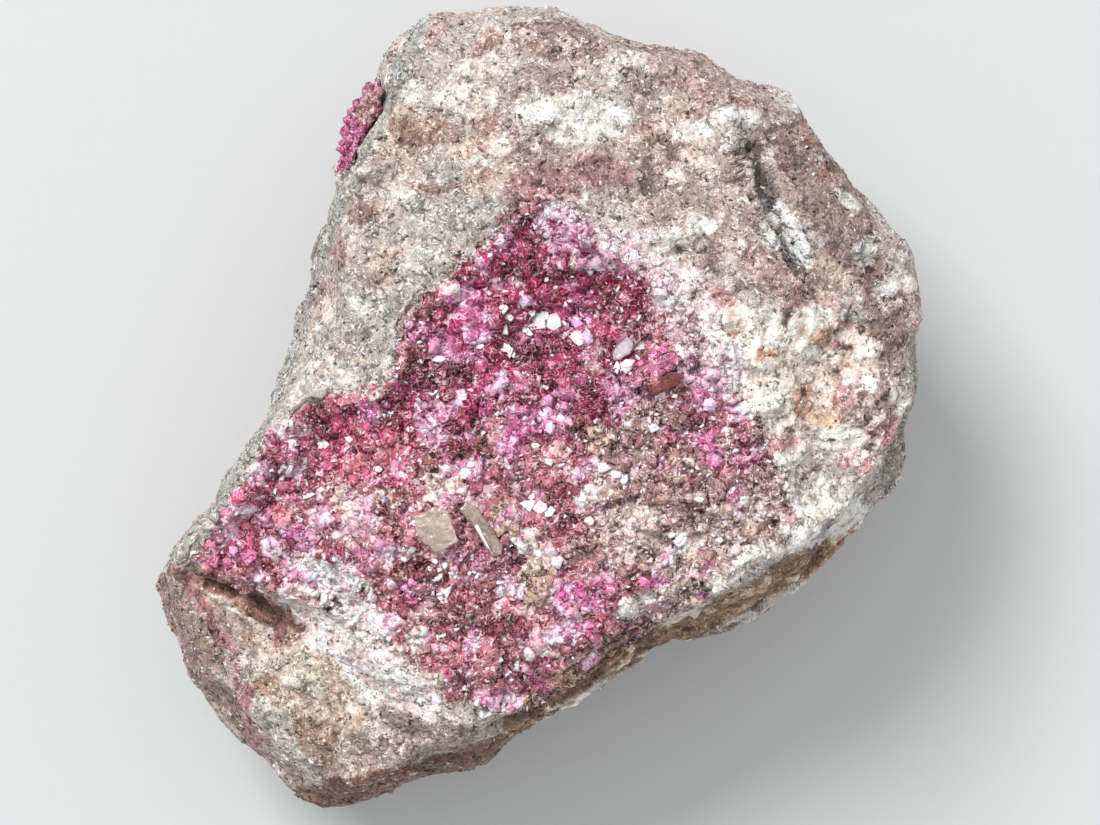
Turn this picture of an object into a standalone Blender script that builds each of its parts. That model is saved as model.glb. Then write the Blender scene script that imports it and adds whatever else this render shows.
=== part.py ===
"""A hand specimen of cobaltoan calcite: a broken lump of granular rock that lies on a flat
broken base, a crust of fused calcite crystals in a shallow seat across its face, and a
second, small patch of crystals on its left flank.

The face looks up along +Z, +Y is the top of the specimen, and the base rests on Z = 0.
Every value below is in millimetres or degrees, and becomes metres only in the meshes.
"""

import math
import random

import bmesh
import bpy
import numpy as np
from mathutils import Matrix, Vector, noise

MM = 0.001
SEED = 41

# Driving dimensions.
SPECIMEN_WIDTH = 64.8
SPECIMEN_HEIGHT = 68.7
CRUST_THICKNESS = 1.5
CRUST_RECESS = 0.7
SEAT_WALL = 1.1
FIT_GAP = 0.35

# The widest outline of the rock seen from above, from the top left corner clockwise.
ROCK_OUTLINE = (
    (-9.8, 33.3), (-8.4, 34.1), (-6.3, 33.3), (-4.4, 34.2), (-1.9, 33.7), (1.0, 34.4), (5.5, 32.9),
    (9.7, 31.7), (14.2, 30.9), (17.1, 28.6), (21.9, 27.0), (24.1, 24.6), (26.2, 21.2),
    (26.9, 19.1), (28.9, 17.4), (31.2, 15.0), (32.1, 13.5), (32.4, 8.5), (31.9, 5.9),
    (32.3, 4.0), (31.2, -1.4), (30.4, -4.7), (27.7, -8.8), (25.5, -11.5), (22.1, -14.8),
    (17.6, -17.3), (11.4, -20.0), (7.9, -21.8), (0.8, -25.4), (-3.2, -28.2), (-4.4, -29.8),
    (-8.4, -31.2), (-10.5, -31.5), (-17.6, -34.3), (-20.3, -32.8), (-22.6, -30.3),
    (-26.0, -27.3), (-29.2, -23.5), (-30.4, -20.0), (-32.2, -16.4), (-32.4, -14.6),
    (-31.3, -12.2), (-28.1, -9.0), (-23.8, -2.7), (-22.4, 0.3), (-21.7, 3.1), (-19.3, 10.3),
    (-18.3, 14.9), (-16.3, 19.8), (-13.5, 25.4), (-11.6, 29.7),
)

# The edge of the seat that the crust grows in, from the lower left tip clockwise.
CRUST_OUTLINE = (
    (-28.9, -12.4), (-27.1, -9.8), (-23.1, -4.0), (-21.2, -1.2), (-19.2, 0.8), (-16.0, 1.6),
    (-12.8, 2.3), (-11.3, 4.8), (-10.3, 7.7), (-7.9, 10.8), (-2.4, 15.9), (-0.3, 18.0),
    (1.9, 18.3), (4.0, 15.9), (9.9, 12.2), (13.1, 9.8), (14.2, 6.8), (17.4, 0.9),
    (20.5, -5.1), (21.8, -8.8), (17.6, -12.3), (9.1, -17.9), (1.6, -23.2), (-2.8, -24.6),
    (-6.2, -23.2), (-9.2, -20.8), (-15.6, -16.4), (-19.8, -15.0), (-24.1, -14.3),
    (-27.5, -13.3),
)

# The planes that bound the face: a point that each passes through, then its slope along X and Y.
FACE_PLANES = {
    "crown": ((-8.0, 12.0, 35.6), (-0.02, 0.01)),
    "top fall": ((0.0, 18.0, 35.4), (-0.03, -0.27)),
    "upper right fall": ((16.0, 17.0, 34.6), (-0.33, -0.27)),
    "right fall": ((19.0, 4.0, 34.6), (-0.48, 0.02)),
    "lower right fall": ((7.0, -9.0, 35.2), (-0.16, 0.20)),
    "bottom fall": ((-4.0, -14.0, 34.2), (0.02, 0.33)),
    "left fall": ((-17.0, 2.0, 34.6), (0.30, 0.06)),
    "lower left break": ((-17.0, -16.2, 31.0), (0.31, 0.40)),
}

# Planes that break up the underside round the flat base, in the same form.
UNDERSIDE_PLANES = {
    "base": ((0.0, 0.0, -1.5), (0.0, 0.0)),
    "right facet": ((16.0, 0.0, 0.0), (0.52, -0.12)),
    "lower facet": ((-8.0, -19.0, 0.0), (0.12, -0.42)),
    "upper facet": ((2.0, 24.0, 0.0), (0.16, 0.55)),
    "upper left facet": ((-9.5, 15.0, 0.0), (-0.50, 0.14)),
    "lower left facet": ((-22.0, -12.0, 0.0), (-0.62, -0.10)),
}
# Past these distances from the middle, the base starts to break up, and is fully broken.
BASE_BREAKS = (9.0, 19.0)
BASE_BREAK_RISE = 1.35

# Round the rim by compass angle: the rim's height, how steeply the side rises to the face,
# and how steeply it falls to the base.
SIDES = (
    (0, 23.5, 5.0, 2.1),
    (22, 25.5, 5.6, 2.6),
    (42, 21.0, 6.0, 3.2),
    (66, 17.5, 5.2, 2.4),
    (90, 22.5, 6.0, 2.8),
    (112, 25.0, 5.0, 3.2),
    (128, 23.0, 4.2, 3.6),
    (148, 17.5, 3.4, 2.6),
    (170, 21.5, 3.6, 2.0),
    (192, 25.0, 4.4, 2.3),
    (206, 19.5, 3.0, 1.9),
    (222, 14.5, 2.6, 1.6),
    (240, 14.0, 2.3, 1.5),
    (256, 18.0, 1.7, 1.5),
    (275, 23.0, 1.6, 1.3),
    (300, 22.5, 1.3, 1.4),
    (325, 21.5, 1.6, 1.6),
    (343, 19.5, 3.2, 1.8),
)
SIDE_BULGE = 1.4

# Dents in the face: centre, the two half-lengths, heading of the first, and depth.
FACE_HOLLOWS = {
    "crystal cavity": ((3.6, 7.6), (9.0, 6.2), 25, 2.6),
    "crust trough": ((-13.5, -3.0), (11.0, 6.0), 25, 1.3),
    "shaded hollow": ((-23.4, -17.2), (7.0, 2.7), -16, 2.4),
    "lower left scoop": ((-15.5, -23.5), (5.5, 4.0), -40, 1.0),
    "slab dip": ((-9.0, 22.5), (5.0, 3.2), 15, 0.7),
    "right dip": ((25.5, 12.5), (3.6, 5.5), 60, 0.9),
    "rim dip": ((20.0, -12.5), (5.0, 2.0), 35, 0.8),
}

# Steps where a flake has broken away: a run of points with the low side on its right hand,
# the drop at the line, and how far the low ground takes to come back up.
FACE_LEDGES = {
    "upper right flake": (((16.4, 24.4), (18.0, 20.6), (19.6, 16.8), (21.8, 12.6)), 1.9, 5.0),
    "left seam": (((-20.6, -31.0), (-22.6, -27.0), (-24.8, -21.6), (-28.2, -15.6)), 1.8, 8.0),
    "slab seam": (((-5.4, 20.2), (-8.6, 18.9), (-12.0, 19.6), (-15.6, 21.4)), 0.8, 5.0),
    "top flake": (((-2.0, 28.2), (-6.0, 26.0), (-9.6, 26.6)), 0.9, 4.0),
    "bottom seam": (((-5.6, -28.0), (-12.0, -29.0), (-17.4, -31.6)), 0.9, 4.0),
    "crust ridge": (((-30.8, -12.8), (-26.6, -13.6), (-21.6, -14.9), (-17.2, -16.4)), 1.8, 3.2),
}

# The breaks in the granular rock: cell size and height of the lumps that they leave.
FRACTURES = ((8.0, 1.1), (3.6, 0.5))

# Single crystals that stand out of the crust: centre, length, width, height, heading, tilt.
LARGE_CRYSTALS = {
    "smoky rhomb": ((-8.7, -9.2), 4.6, 4.2, 3.0, 8, 6),
    "smoky blade": ((-4.1, -9.4), 5.0, 1.8, 2.4, -58, 10),
    "dark red block": ((10.6, 3.2), 6.6, 3.4, 4.2, 32, -12),
    "red block shoulder": ((13.4, 4.4), 3.4, 2.6, 2.8, 20, 10),
    "upper pink rhomb": ((-4.9, 8.8), 4.2, 3.0, 3.4, 60, 18),
    "edge pink rhomb": ((-9.3, 6.6), 3.2, 2.4, 2.8, 15, -14),
    "left pink rhomb": ((-20.4, -2.2), 3.8, 2.2, 2.8, 25, 12),
    "left pale rhomb": ((-20.6, -6.0), 2.8, 2.2, 2.8, 70, -16),
    "trough pink block": ((-14.8, -4.1), 3.0, 2.0, 2.2, 20, 8),
    "lower pink pair": ((-4.4, -15.6), 2.8, 2.0, 2.2, 35, 10),
    "lower pink rhomb": ((2.2, -16.4), 2.4, 1.8, 2.2, 60, -12),
    "cavity plate": ((8.2, 5.9), 3.0, 1.8, 2.6, 55, 24),
}
SMALL_CRYSTALS = 62
SMALL_CRYSTAL_SIZE = (1.5, 2.6)
RHOMB_STRETCH = 1.22

# The patch on the left flank: centre, and half-lengths outwards, along the flank and in height.
FLANK_PATCH_CENTRE = (-13.5, 24.8, 24.0)
FLANK_PATCH_REACH = (1.5, 5.4, 5.2)
FLANK_HEADING = 65
FLANK_CRYSTALS = 22
FLANK_CRYSTAL_SIZE = (0.8, 1.3)

ROCK_FACES = 4500


def polar(points):
    """The angles and radii of an outline's points, in order of angle."""
    angles = np.array([math.atan2(y, x) for x, y in points]) % math.tau
    radii = np.array([math.hypot(x, y) for x, y in points])
    order = np.argsort(angles)
    return angles[order], radii[order]


OUTLINE_ANGLES, OUTLINE_RADII = polar(ROCK_OUTLINE)


def rim_radius(angle):
    """How far the rock reaches from its middle in the direction of angle."""
    return np.interp(angle, OUTLINE_ANGLES, OUTLINE_RADII, period=math.tau)


def side_values(angle):
    """The rim's height, the rise to the face and the fall to the base in this direction."""
    table = np.array(SIDES)
    return [np.interp(np.degrees(angle), table[:, 0], table[:, k], period=360) for k in (1, 2, 3)]


def smooth_step(value):
    """0 below 0, 1 above 1, with an even curve between."""
    value = np.clip(value, 0, 1)
    return value * value * (3 - 2 * value)


def distance_to_run(x, y, run):
    """The distance to a run of straight stretches, and whether a point is on its right hand."""
    nearest = np.full(np.shape(x), 1e9)
    right = np.zeros(np.shape(x), bool)
    for (ax, ay), (bx, by) in zip(run, run[1:]):
        dx, dy = bx - ax, by - ay
        along = np.clip(((x - ax) * dx + (y - ay) * dy) / (dx * dx + dy * dy), 0, 1)
        away = np.hypot(x - ax - along * dx, y - ay - along * dy)
        closer = away < nearest
        right = np.where(closer, dx * (y - ay) - dy * (x - ax) < 0, right)
        nearest = np.where(closer, away, nearest)
    return nearest, right


def inside_crust(x, y):
    """How far a point lies inside the seat's edge. It is negative outside."""
    closed_run = CRUST_OUTLINE + CRUST_OUTLINE[:1]
    nearest, _ = distance_to_run(x, y, closed_run)
    inside = np.zeros(np.shape(x), bool)
    for (ax, ay), (bx, by) in zip(closed_run, closed_run[1:]):
        crosses = (ay > y) != (by > y)
        inside ^= crosses & (x < ax + (bx - ax) * (y - ay) / (by - ay + 1e-12))
    return np.where(inside, nearest, -nearest)


def plane_heights(planes, x, y):
    """The height of each plane over a point, stacked."""
    return np.stack([z + gx * (x - px) + gy * (y - py) for (px, py, z), (gx, gy) in planes.values()])


def hollow_depth(x, y):
    """How far the dents lower the face."""
    depth = np.zeros(np.shape(x))
    for (cx, cy), (long, short), heading, deepest in FACE_HOLLOWS.values():
        turn = math.radians(heading)
        u = ((x - cx) * math.cos(turn) + (y - cy) * math.sin(turn)) / long
        v = ((y - cy) * math.cos(turn) - (x - cx) * math.sin(turn)) / short
        depth += deepest * smooth_step(1.25 * (1 - np.hypot(u, v)))
    return depth


def ledge_drop(x, y):
    """How far the steps lower the face."""
    drop = np.zeros(np.shape(x))
    for run, fall, recovery in FACE_LEDGES.values():
        away, right = distance_to_run(x, y, run)
        drop += np.where(right, fall * np.exp(-((away / recovery) ** 2)) * smooth_step(away / 0.5), 0)
    return drop


def face_height(x, y):
    """The height of the rock's face, rounded down to the sides, before the crust's seat is sunk."""
    angle = np.arctan2(y, x) % math.tau
    inset = np.maximum(rim_radius(angle) - np.hypot(x, y), 0)
    rim, rise, _ = side_values(angle)
    face = plane_heights(FACE_PLANES, x, y).min(axis=0) - hollow_depth(x, y) - ledge_drop(x, y)
    side = rim + rise * inset + SIDE_BULGE * np.sqrt(inset)
    return np.minimum(face, side)


def underside_height(x, y):
    """The height of the rock's underside."""
    angle = np.arctan2(y, x) % math.tau
    inset = np.maximum(rim_radius(angle) - np.hypot(x, y), 0)
    rim, _, fall = side_values(angle)
    side = rim - fall * inset - SIDE_BULGE * np.sqrt(inset)
    whole, broken = BASE_BREAKS
    rise = BASE_BREAK_RISE * smooth_step((np.hypot(x, y) - whole) / (broken - whole))
    return np.maximum(plane_heights(UNDERSIDE_PLANES, x, y).max(axis=0) + rise, side)


def crust_recess(x, y):
    """How far the crust's top lies below the face: a step at the upper left, none at the lower right."""
    return np.clip(CRUST_RECESS + 0.035 * (y - x), 0.1, 1.3)


def seat_depth(x, y):
    """How far the seat sinks the face: the recess and the crust's own thickness."""
    return (crust_recess(x, y) + CRUST_THICKNESS) * smooth_step(inside_crust(x, y) / SEAT_WALL)


def fracture_relief(point):
    """The height of the broken relief at a point: tilted facets that meet at their cells' edges."""
    relief = 0.0
    for cell, height in FRACTURES:
        distances, seeds = noise.voronoi(point / cell)
        tilt = noise.cell_vector(seeds[0] * 17.3) - Vector((0.5, 0.5, 0.5))
        facet = tilt.dot(point / cell - seeds[0])
        relief += height * 2.4 * facet * min(1.0, (distances[1] - distances[0]) / 0.25)
        relief += height * 0.5 * noise.noise(point / (0.6 * cell))
    return relief


def mesh_object(name, mesh, collection, material):
    """Puts a mesh in the scene as a named object with one material."""
    made = bpy.data.objects.new(name, mesh)
    collection.objects.link(made)
    mesh.materials.append(material)
    return made


def stone_material(name, colour, roughness):
    """A plain mineral surface."""
    material = bpy.data.materials.new(name)
    material.use_nodes = True
    shader = material.node_tree.nodes["Principled BSDF"]
    shader.inputs["Base Color"].default_value = (*colour, 1)
    shader.inputs["Roughness"].default_value = roughness
    shader.inputs["Metallic"].default_value = 0
    return material


def shape_rock(sphere):
    """Moves the vertices of a unit sphere out to the surface of the rock."""
    points = np.array([vertex.co for vertex in sphere.verts])
    angle = np.arctan2(points[:, 1], points[:, 0]) % math.tau
    reach = rim_radius(angle) * np.minimum(np.hypot(points[:, 0], points[:, 1]), 1)
    x, y = reach * np.cos(angle), reach * np.sin(angle)
    top = face_height(x, y) - seat_depth(x, y)
    z = np.where(points[:, 2] > 0, top, underside_height(x, y))
    for vertex, place in zip(sphere.verts, np.stack([x, y, z], axis=1)):
        vertex.co = place


def roughen_rock(sphere):
    """Breaks the rock's surface into facets, but not the crust's seat, and flattens its base."""
    sphere.normal_update()
    points = np.array([vertex.co for vertex in sphere.verts])
    on_face = points[:, 2] > 24
    seated = np.where(on_face, smooth_step((inside_crust(points[:, 0], points[:, 1]) + 0.4) / 0.8), 0)
    for vertex, cover in zip(sphere.verts, seated):
        vertex.co += vertex.normal * fracture_relief(vertex.co) * (1 - cover)
        vertex.co.z = max(vertex.co.z, 0)


def make_rock(collection, material):
    """The host rock, from a dense sphere that is shaped, broken up and then thinned out."""
    sphere = bmesh.new()
    bmesh.ops.create_icosphere(sphere, subdivisions=7, radius=1)
    shape_rock(sphere)
    roughen_rock(sphere)
    bmesh.ops.scale(sphere, vec=Vector((MM, MM, MM)), verts=sphere.verts)
    mesh = bpy.data.meshes.new("matrix_rock")
    dense_faces = len(sphere.faces)
    sphere.to_mesh(mesh)
    sphere.free()
    rock = mesh_object("matrix_rock", mesh, collection, material)
    thin = rock.modifiers.new("thin out", "DECIMATE")
    thin.ratio = ROCK_FACES / dense_faces
    apply_modifiers(rock)
    return rock


def apply_modifiers(thing):
    """Replaces an object's mesh with the one that its modifiers make."""
    graph = bpy.context.evaluated_depsgraph_get()
    made = bpy.data.meshes.new_from_object(thing.evaluated_get(graph))
    thing.modifiers.clear()
    thing.data = made


def rhomb(length, width, height):
    """A calcite rhomb as a mesh: a cube stretched along its diagonal, then sized."""
    block = bmesh.new()
    bmesh.ops.create_cube(block, size=1)
    diagonal = Vector((1, 1, 1)).normalized()
    for vertex in block.verts:
        along = vertex.co.dot(diagonal)
        vertex.co += diagonal * along * (RHOMB_STRETCH - 1)
        vertex.co = Vector((vertex.co.x * length, vertex.co.y * width, vertex.co.z * height))
    mesh = bpy.data.meshes.new("rhomb")
    block.to_mesh(mesh)
    block.free()
    mesh.transform(Matrix.Scale(MM, 4))
    return mesh


def place_crystal(size, place, turn, collection, material):
    """One rhomb at a place in millimetres, turned by heading, tilt and roll in degrees."""
    crystal = mesh_object("crystal", rhomb(*size), collection, material)
    heading, tilt, roll = (math.radians(angle) for angle in turn)
    turned = Matrix.Rotation(heading, 4, "Z") @ Matrix.Rotation(tilt, 4, "Y") @ Matrix.Rotation(roll, 4, "X")
    crystal.matrix_world = Matrix.Translation(Vector(place) * MM) @ turned
    crystal.hide_render = True
    crystal.display_type = "WIRE"
    return crystal


def crust_top(x, y):
    """The height of the crust's bed, between its crystals."""
    ripple = [0.45 * noise.noise(Vector((px / 2.6, py / 2.6, 4))) for px, py in zip(x, y)]
    return face_height(x, y) - crust_recess(x, y) + np.array(ripple)


def crust_bed(collection, material):
    """A slab under the crystals: a grid trimmed to the crust's outline and drawn down into the rock."""
    pitch = 1.5
    columns = round(SPECIMEN_WIDTH / pitch)
    rows = round(SPECIMEN_HEIGHT / pitch)
    bed = bmesh.new()
    bmesh.ops.create_grid(bed, x_segments=columns, y_segments=rows, size=0.5)
    bmesh.ops.scale(bed, vec=Vector((SPECIMEN_WIDTH, SPECIMEN_HEIGHT, 1)), verts=bed.verts)
    centres = np.array([face.calc_center_median() for face in bed.faces])
    kept = inside_crust(centres[:, 0], centres[:, 1]) > 0
    bmesh.ops.delete(bed, geom=[f for f, keep in zip(bed.faces[:], kept) if not keep], context="FACES")
    points = np.array([vertex.co for vertex in bed.verts])
    for vertex, height in zip(bed.verts, crust_top(points[:, 0], points[:, 1])):
        vertex.co.z = height
    lower = bmesh.ops.extrude_face_region(bed, geom=bed.faces[:])
    for item in lower["geom"]:
        if isinstance(item, bmesh.types.BMVert):
            item.co.z -= 4 * CRUST_THICKNESS
    bmesh.ops.recalc_face_normals(bed, faces=bed.faces)
    bmesh.ops.scale(bed, vec=Vector((MM, MM, MM)), verts=bed.verts)
    mesh = bpy.data.meshes.new("cobalt_crust")
    bed.to_mesh(mesh)
    bed.free()
    return mesh_object("cobalt_crust", mesh, collection, material)


def crust_crystals(collection, material, chance):
    """The large crystals at their own places, then small ones scattered between them."""
    taken = []
    for (x, y), length, width, height, heading, tilt in LARGE_CRYSTALS.values():
        z = float(crust_top(np.array([x]), np.array([y]))[0])
        place_crystal((length, width, height), (x, y, z), (heading, tilt, 0.4 * tilt), collection, material)
        taken.append((x, y, 0.6 * length))
    placed = 0
    while placed < SMALL_CRYSTALS:
        x = chance.uniform(-SPECIMEN_WIDTH / 2, SPECIMEN_WIDTH / 2)
        y = chance.uniform(-SPECIMEN_HEIGHT / 2, SPECIMEN_HEIGHT / 2)
        size = chance.uniform(*SMALL_CRYSTAL_SIZE)
        too_near = any(math.hypot(x - cx, y - cy) < reach + 0.45 * size for cx, cy, reach in taken)
        if too_near or inside_crust(np.array([x]), np.array([y]))[0] < 1.3:
            continue
        z = float(crust_top(np.array([x]), np.array([y]))[0])
        turn = (chance.uniform(0, 360), chance.uniform(-35, 35), chance.uniform(-35, 35))
        place_crystal((size, 0.8 * size, 0.9 * size), (x, y, z), turn, collection, material)
        taken.append((x, y, 0.7 * size))
        placed += 1


def raised_copy(rock, shift, collection):
    """A copy of the rock moved by shift, which cuts what grows on it so that a gap is left."""
    cutter = rock.copy()
    cutter.data = rock.data.copy()
    cutter.name = "rock_cutter"
    collection.objects.link(cutter)
    cutter.location = Vector(shift) * MM
    cutter.hide_render = True
    cutter.display_type = "WIRE"
    return cutter


def fuse_and_fit(body, crystals, cutter):
    """Joins the crystals to a body, cuts away what would lie in the rock, and keeps the one main piece."""
    fuse = body.modifiers.new("fuse crystals", "BOOLEAN")
    fuse.operation = "UNION"
    fuse.operand_type = "COLLECTION"
    fuse.collection = crystals
    fit = body.modifiers.new("fit to rock", "BOOLEAN")
    fit.operation = "DIFFERENCE"
    fit.object = cutter
    apply_modifiers(body)
    keep_largest_piece(body.data)


def keep_largest_piece(mesh):
    """Drops the slivers that a cut leaves loose."""
    whole = bmesh.new()
    whole.from_mesh(mesh)
    waiting = set(whole.verts)
    pieces = []
    while waiting:
        piece, edge_of_search = set(), [waiting.pop()]
        while edge_of_search:
            vertex = edge_of_search.pop()
            piece.add(vertex)
            near = {edge.other_vert(vertex) for edge in vertex.link_edges} & waiting
            waiting -= near
            edge_of_search.extend(near)
        pieces.append(piece)
    largest = max(pieces, key=len)
    loose = [vertex for piece in pieces if piece is not largest for vertex in piece]
    bmesh.ops.delete(whole, geom=loose, context="VERTS")
    whole.to_mesh(mesh)
    whole.free()


def flank_patch(collection, crystals, material, chance):
    """The small patch of crystals on the left flank: a flat lump with rhombs standing on it."""
    lump = bmesh.new()
    bmesh.ops.create_icosphere(lump, subdivisions=3, radius=1)
    turned = Matrix.Rotation(math.radians(FLANK_HEADING - 90), 4, "Z")
    centre = Vector(FLANK_PATCH_CENTRE)
    places = []
    for vertex in lump.verts:
        unit = vertex.co.copy()
        rough = 1 + 0.16 * noise.noise(unit * 2.3)
        vertex.co = centre + turned @ Vector([r * rough * u for r, u in zip(FLANK_PATCH_REACH, unit)])
        places.append((unit, vertex.co.copy()))
    bmesh.ops.scale(lump, vec=Vector((MM, MM, MM)), verts=lump.verts)
    mesh = bpy.data.meshes.new("flank_crystal_patch")
    lump.to_mesh(mesh)
    lump.free()
    outward = [place for unit, place in places if unit.x < -0.45]
    for place in chance.sample(outward, FLANK_CRYSTALS):
        size = chance.uniform(*FLANK_CRYSTAL_SIZE)
        turn = [chance.uniform(0, 360) for _ in range(3)]
        place_crystal((size, 0.8 * size, 0.9 * size), place, turn, crystals, material)
    return mesh_object("flank_crystal_patch", mesh, collection, material)


def centre_on_base(objects):
    """Moves everything so that the middle of the specimen's footprint is the origin."""
    points = np.array([vertex.co for thing in objects for vertex in thing.data.vertices])
    low, high = points.min(axis=0), points.max(axis=0)
    shift = Vector((-(low[0] + high[0]) / 2, -(low[1] + high[1]) / 2, -low[2]))
    for thing in objects:
        thing.data.transform(Matrix.Translation(shift))


def collection_in_scene(name):
    """A new collection linked to the scene."""
    made = bpy.data.collections.new(name)
    bpy.context.scene.collection.children.link(made)
    return made


def main():
    for thing in list(bpy.data.objects):
        bpy.data.objects.remove(thing)
    chance = random.Random(SEED)
    specimen = collection_in_scene("cobaltoan_calcite_specimen")
    crust_seeds = collection_in_scene("crust crystals to fuse")
    flank_seeds = collection_in_scene("flank crystals to fuse")
    cutters = collection_in_scene("cutters")
    rock_finish = stone_material("granular rock", (0.50, 0.43, 0.39), 0.7)
    crust_finish = stone_material("cobaltoan calcite", (0.42, 0.07, 0.20), 0.3)

    rock = make_rock(specimen, rock_finish)
    crust = crust_bed(specimen, crust_finish)
    crust_crystals(crust_seeds, crust_finish, chance)
    fuse_and_fit(crust, crust_seeds, raised_copy(rock, (0, 0, FIT_GAP), cutters))

    patch = flank_patch(specimen, flank_seeds, crust_finish, chance)
    outward = math.radians(FLANK_HEADING + 90)
    shift = (FIT_GAP * math.cos(outward), FIT_GAP * math.sin(outward), 0)
    fuse_and_fit(patch, flank_seeds, raised_copy(rock, shift, cutters))
    centre_on_base((rock, crust, patch))


main()
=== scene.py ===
"""The looks of the cobaltoan calcite specimen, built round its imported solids.

The host rock is refined from its solid into a granular broken surface with loose-looking grains
on it. The crust is a bed of crystal faces with joined crystals on it, and its largest crystals
are pieces of their own. Shapes are worked out in millimetres and become metres in the meshes.
Colours are written as the eye sees them, from 0 to 255, and become linear in the materials.
"""

import logging
import math
from collections.abc import Callable, Sequence
from dataclasses import dataclass, replace
from enum import Enum

import bpy
import numpy as np
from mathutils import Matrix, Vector
from mathutils.bvhtree import BVHTree


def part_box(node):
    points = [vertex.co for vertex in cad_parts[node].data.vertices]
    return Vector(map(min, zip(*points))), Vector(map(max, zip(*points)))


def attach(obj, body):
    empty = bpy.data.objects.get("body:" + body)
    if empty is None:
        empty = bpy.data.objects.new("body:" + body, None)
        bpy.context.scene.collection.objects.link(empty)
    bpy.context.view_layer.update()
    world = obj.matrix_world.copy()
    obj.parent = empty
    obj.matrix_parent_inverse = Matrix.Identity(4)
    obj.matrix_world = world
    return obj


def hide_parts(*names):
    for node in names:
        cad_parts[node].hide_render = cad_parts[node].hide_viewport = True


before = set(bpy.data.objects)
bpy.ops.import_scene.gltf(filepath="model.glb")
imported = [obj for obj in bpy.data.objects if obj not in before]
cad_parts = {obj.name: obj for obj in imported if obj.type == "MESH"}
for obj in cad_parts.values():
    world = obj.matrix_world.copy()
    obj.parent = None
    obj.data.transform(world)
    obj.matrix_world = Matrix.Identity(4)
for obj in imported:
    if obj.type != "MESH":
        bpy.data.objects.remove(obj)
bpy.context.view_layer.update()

MM = 0.001
BODY = "root"

Colour = tuple[float, float, float]
Numbers = np.ndarray
Dice = np.random.Generator
Socket = bpy.types.NodeSocket
Pixels = tuple[tuple[float, float], ...]
Spot = tuple[float, float, float, float, float]

log = logging.getLogger("specimen")


def linear(colour: Sequence[float]) -> Numbers:
    """The linear light of a colour as seen, from 0 to 255."""
    seen = np.asarray(colour, float) / 255
    return np.where(seen <= 0.04045, seen / 12.92, ((seen + 0.055) / 1.055) ** 2.4)


def smooth_step(value: Numbers) -> Numbers:
    """0 below 0, 1 above 1, with an even curve between."""
    value = np.clip(value, 0, 1)
    return value * value * (3 - 2 * value)


def unit(vectors: Numbers) -> Numbers:
    """The same directions with length one."""
    return vectors / np.maximum(np.linalg.norm(vectors, axis=-1, keepdims=True), 1e-12)


def turned(x: Numbers, y: Numbers, heading: float) -> tuple[Numbers, Numbers]:
    """How far places lie along a heading in degrees, and how far to the left of it."""
    turn = math.radians(heading)
    return x * math.cos(turn) + y * math.sin(turn), y * math.cos(turn) - x * math.sin(turn)


def scrambled(cells: Numbers, seed: int) -> Numbers:
    """Gives every whole-number cell three even random numbers of its own.

    Args:
        cells: Whole numbers along X, Y and Z, one row for each cell.
        seed: Which set of random numbers is read.

    Returns:
        Three values from 0 to 1 for each row.
    """
    x, y, z = (cells[..., axis].astype(np.int64) for axis in range(3))
    mixed = (x * 73856093) ^ (y * 19349663) ^ (z * 83492791) ^ (seed * 2654435761)
    values = []
    for _ in range(3):
        mixed = ((mixed ^ (mixed >> 13)) * 1274126177) & 0xFFFFFFFF
        values.append(((mixed ^ (mixed >> 16)) & 0xFFFF) / 65535)
    return np.stack(values, axis=-1)


@dataclass(frozen=True)
class SmoothField:
    """Soft noise: values at the corners of a lattice, blended between them."""

    size: float  # The lattice's pitch in millimetres.
    octaves: int  # How many layers it has, each half the size and half the strength of the last.
    seed: int  # Which noise it is.

    def at(self, points: Numbers) -> Numbers:
        """Reads the noise at points.

        Args:
            points: Places in millimetres.

        Returns:
            A value of about -1 to 1 for each point.
        """
        total, reach = np.zeros(len(points)), 0.0
        for octave in range(self.octaves):
            places = points * 2**octave / self.size
            corner = np.floor(places).astype(np.int64)
            share = smooth_step(places - corner)
            value = np.zeros(len(points))
            for step in np.ndindex(2, 2, 2):
                weight = np.where(step, share, 1 - share).prod(axis=1)
                value += weight * scrambled(corner + step, self.seed * 31 + octave)[:, 0]
            total += 0.5**octave * (2 * value - 1)
            reach += 0.5**octave
        return total / reach


@dataclass(frozen=True)
class BrokenField:
    """A broken surface: cells round scattered seeds, each a facet with its own lean and height."""

    size: float  # The cells' size in millimetres.
    seed: int  # Which pattern it is.
    step: float = 0.5  # How much the facets' heights differ, against their lean.
    rim: float = 0.25  # The width of a cell's rim, against its size.

    def at(self, points: Numbers) -> tuple[Numbers, Numbers, Numbers]:
        """Reads the relief at points.

        Args:
            points: Places in millimetres.

        Returns:
            The height of about -1 to 1 for each point, how far inside its cell it lies, from 0 on
            the edge to 1, and three random numbers of the cell.
        """
        places = points / self.size
        home = np.floor(places).astype(np.int64)
        nearest, second = np.full((2, len(points)), 1e9)
        away, owner = np.zeros((len(points), 3)), np.zeros((len(points), 3), np.int64)
        for step in np.ndindex(3, 3, 3):
            cell = home + step - 1
            offset = places - (cell + scrambled(cell, self.seed))
            distance = np.einsum("ij,ij->i", offset, offset)
            closer = distance < nearest
            second = np.where(closer, nearest, np.minimum(second, distance))
            nearest = np.where(closer, distance, nearest)
            away = np.where(closer[:, None], offset, away)
            owner = np.where(closer[:, None], cell, owner)
        lean = scrambled(owner, self.seed + 7) - 0.5
        dice = scrambled(owner, self.seed + 13)
        height = 2 * np.einsum("ij,ij->i", lean, away) + self.step * (2 * dice[:, 0] - 1)
        inside = np.clip((np.sqrt(second) - np.sqrt(nearest)) / self.rim, 0, 1)
        return height, inside, dice[:, [1, 2, 0]]


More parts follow.
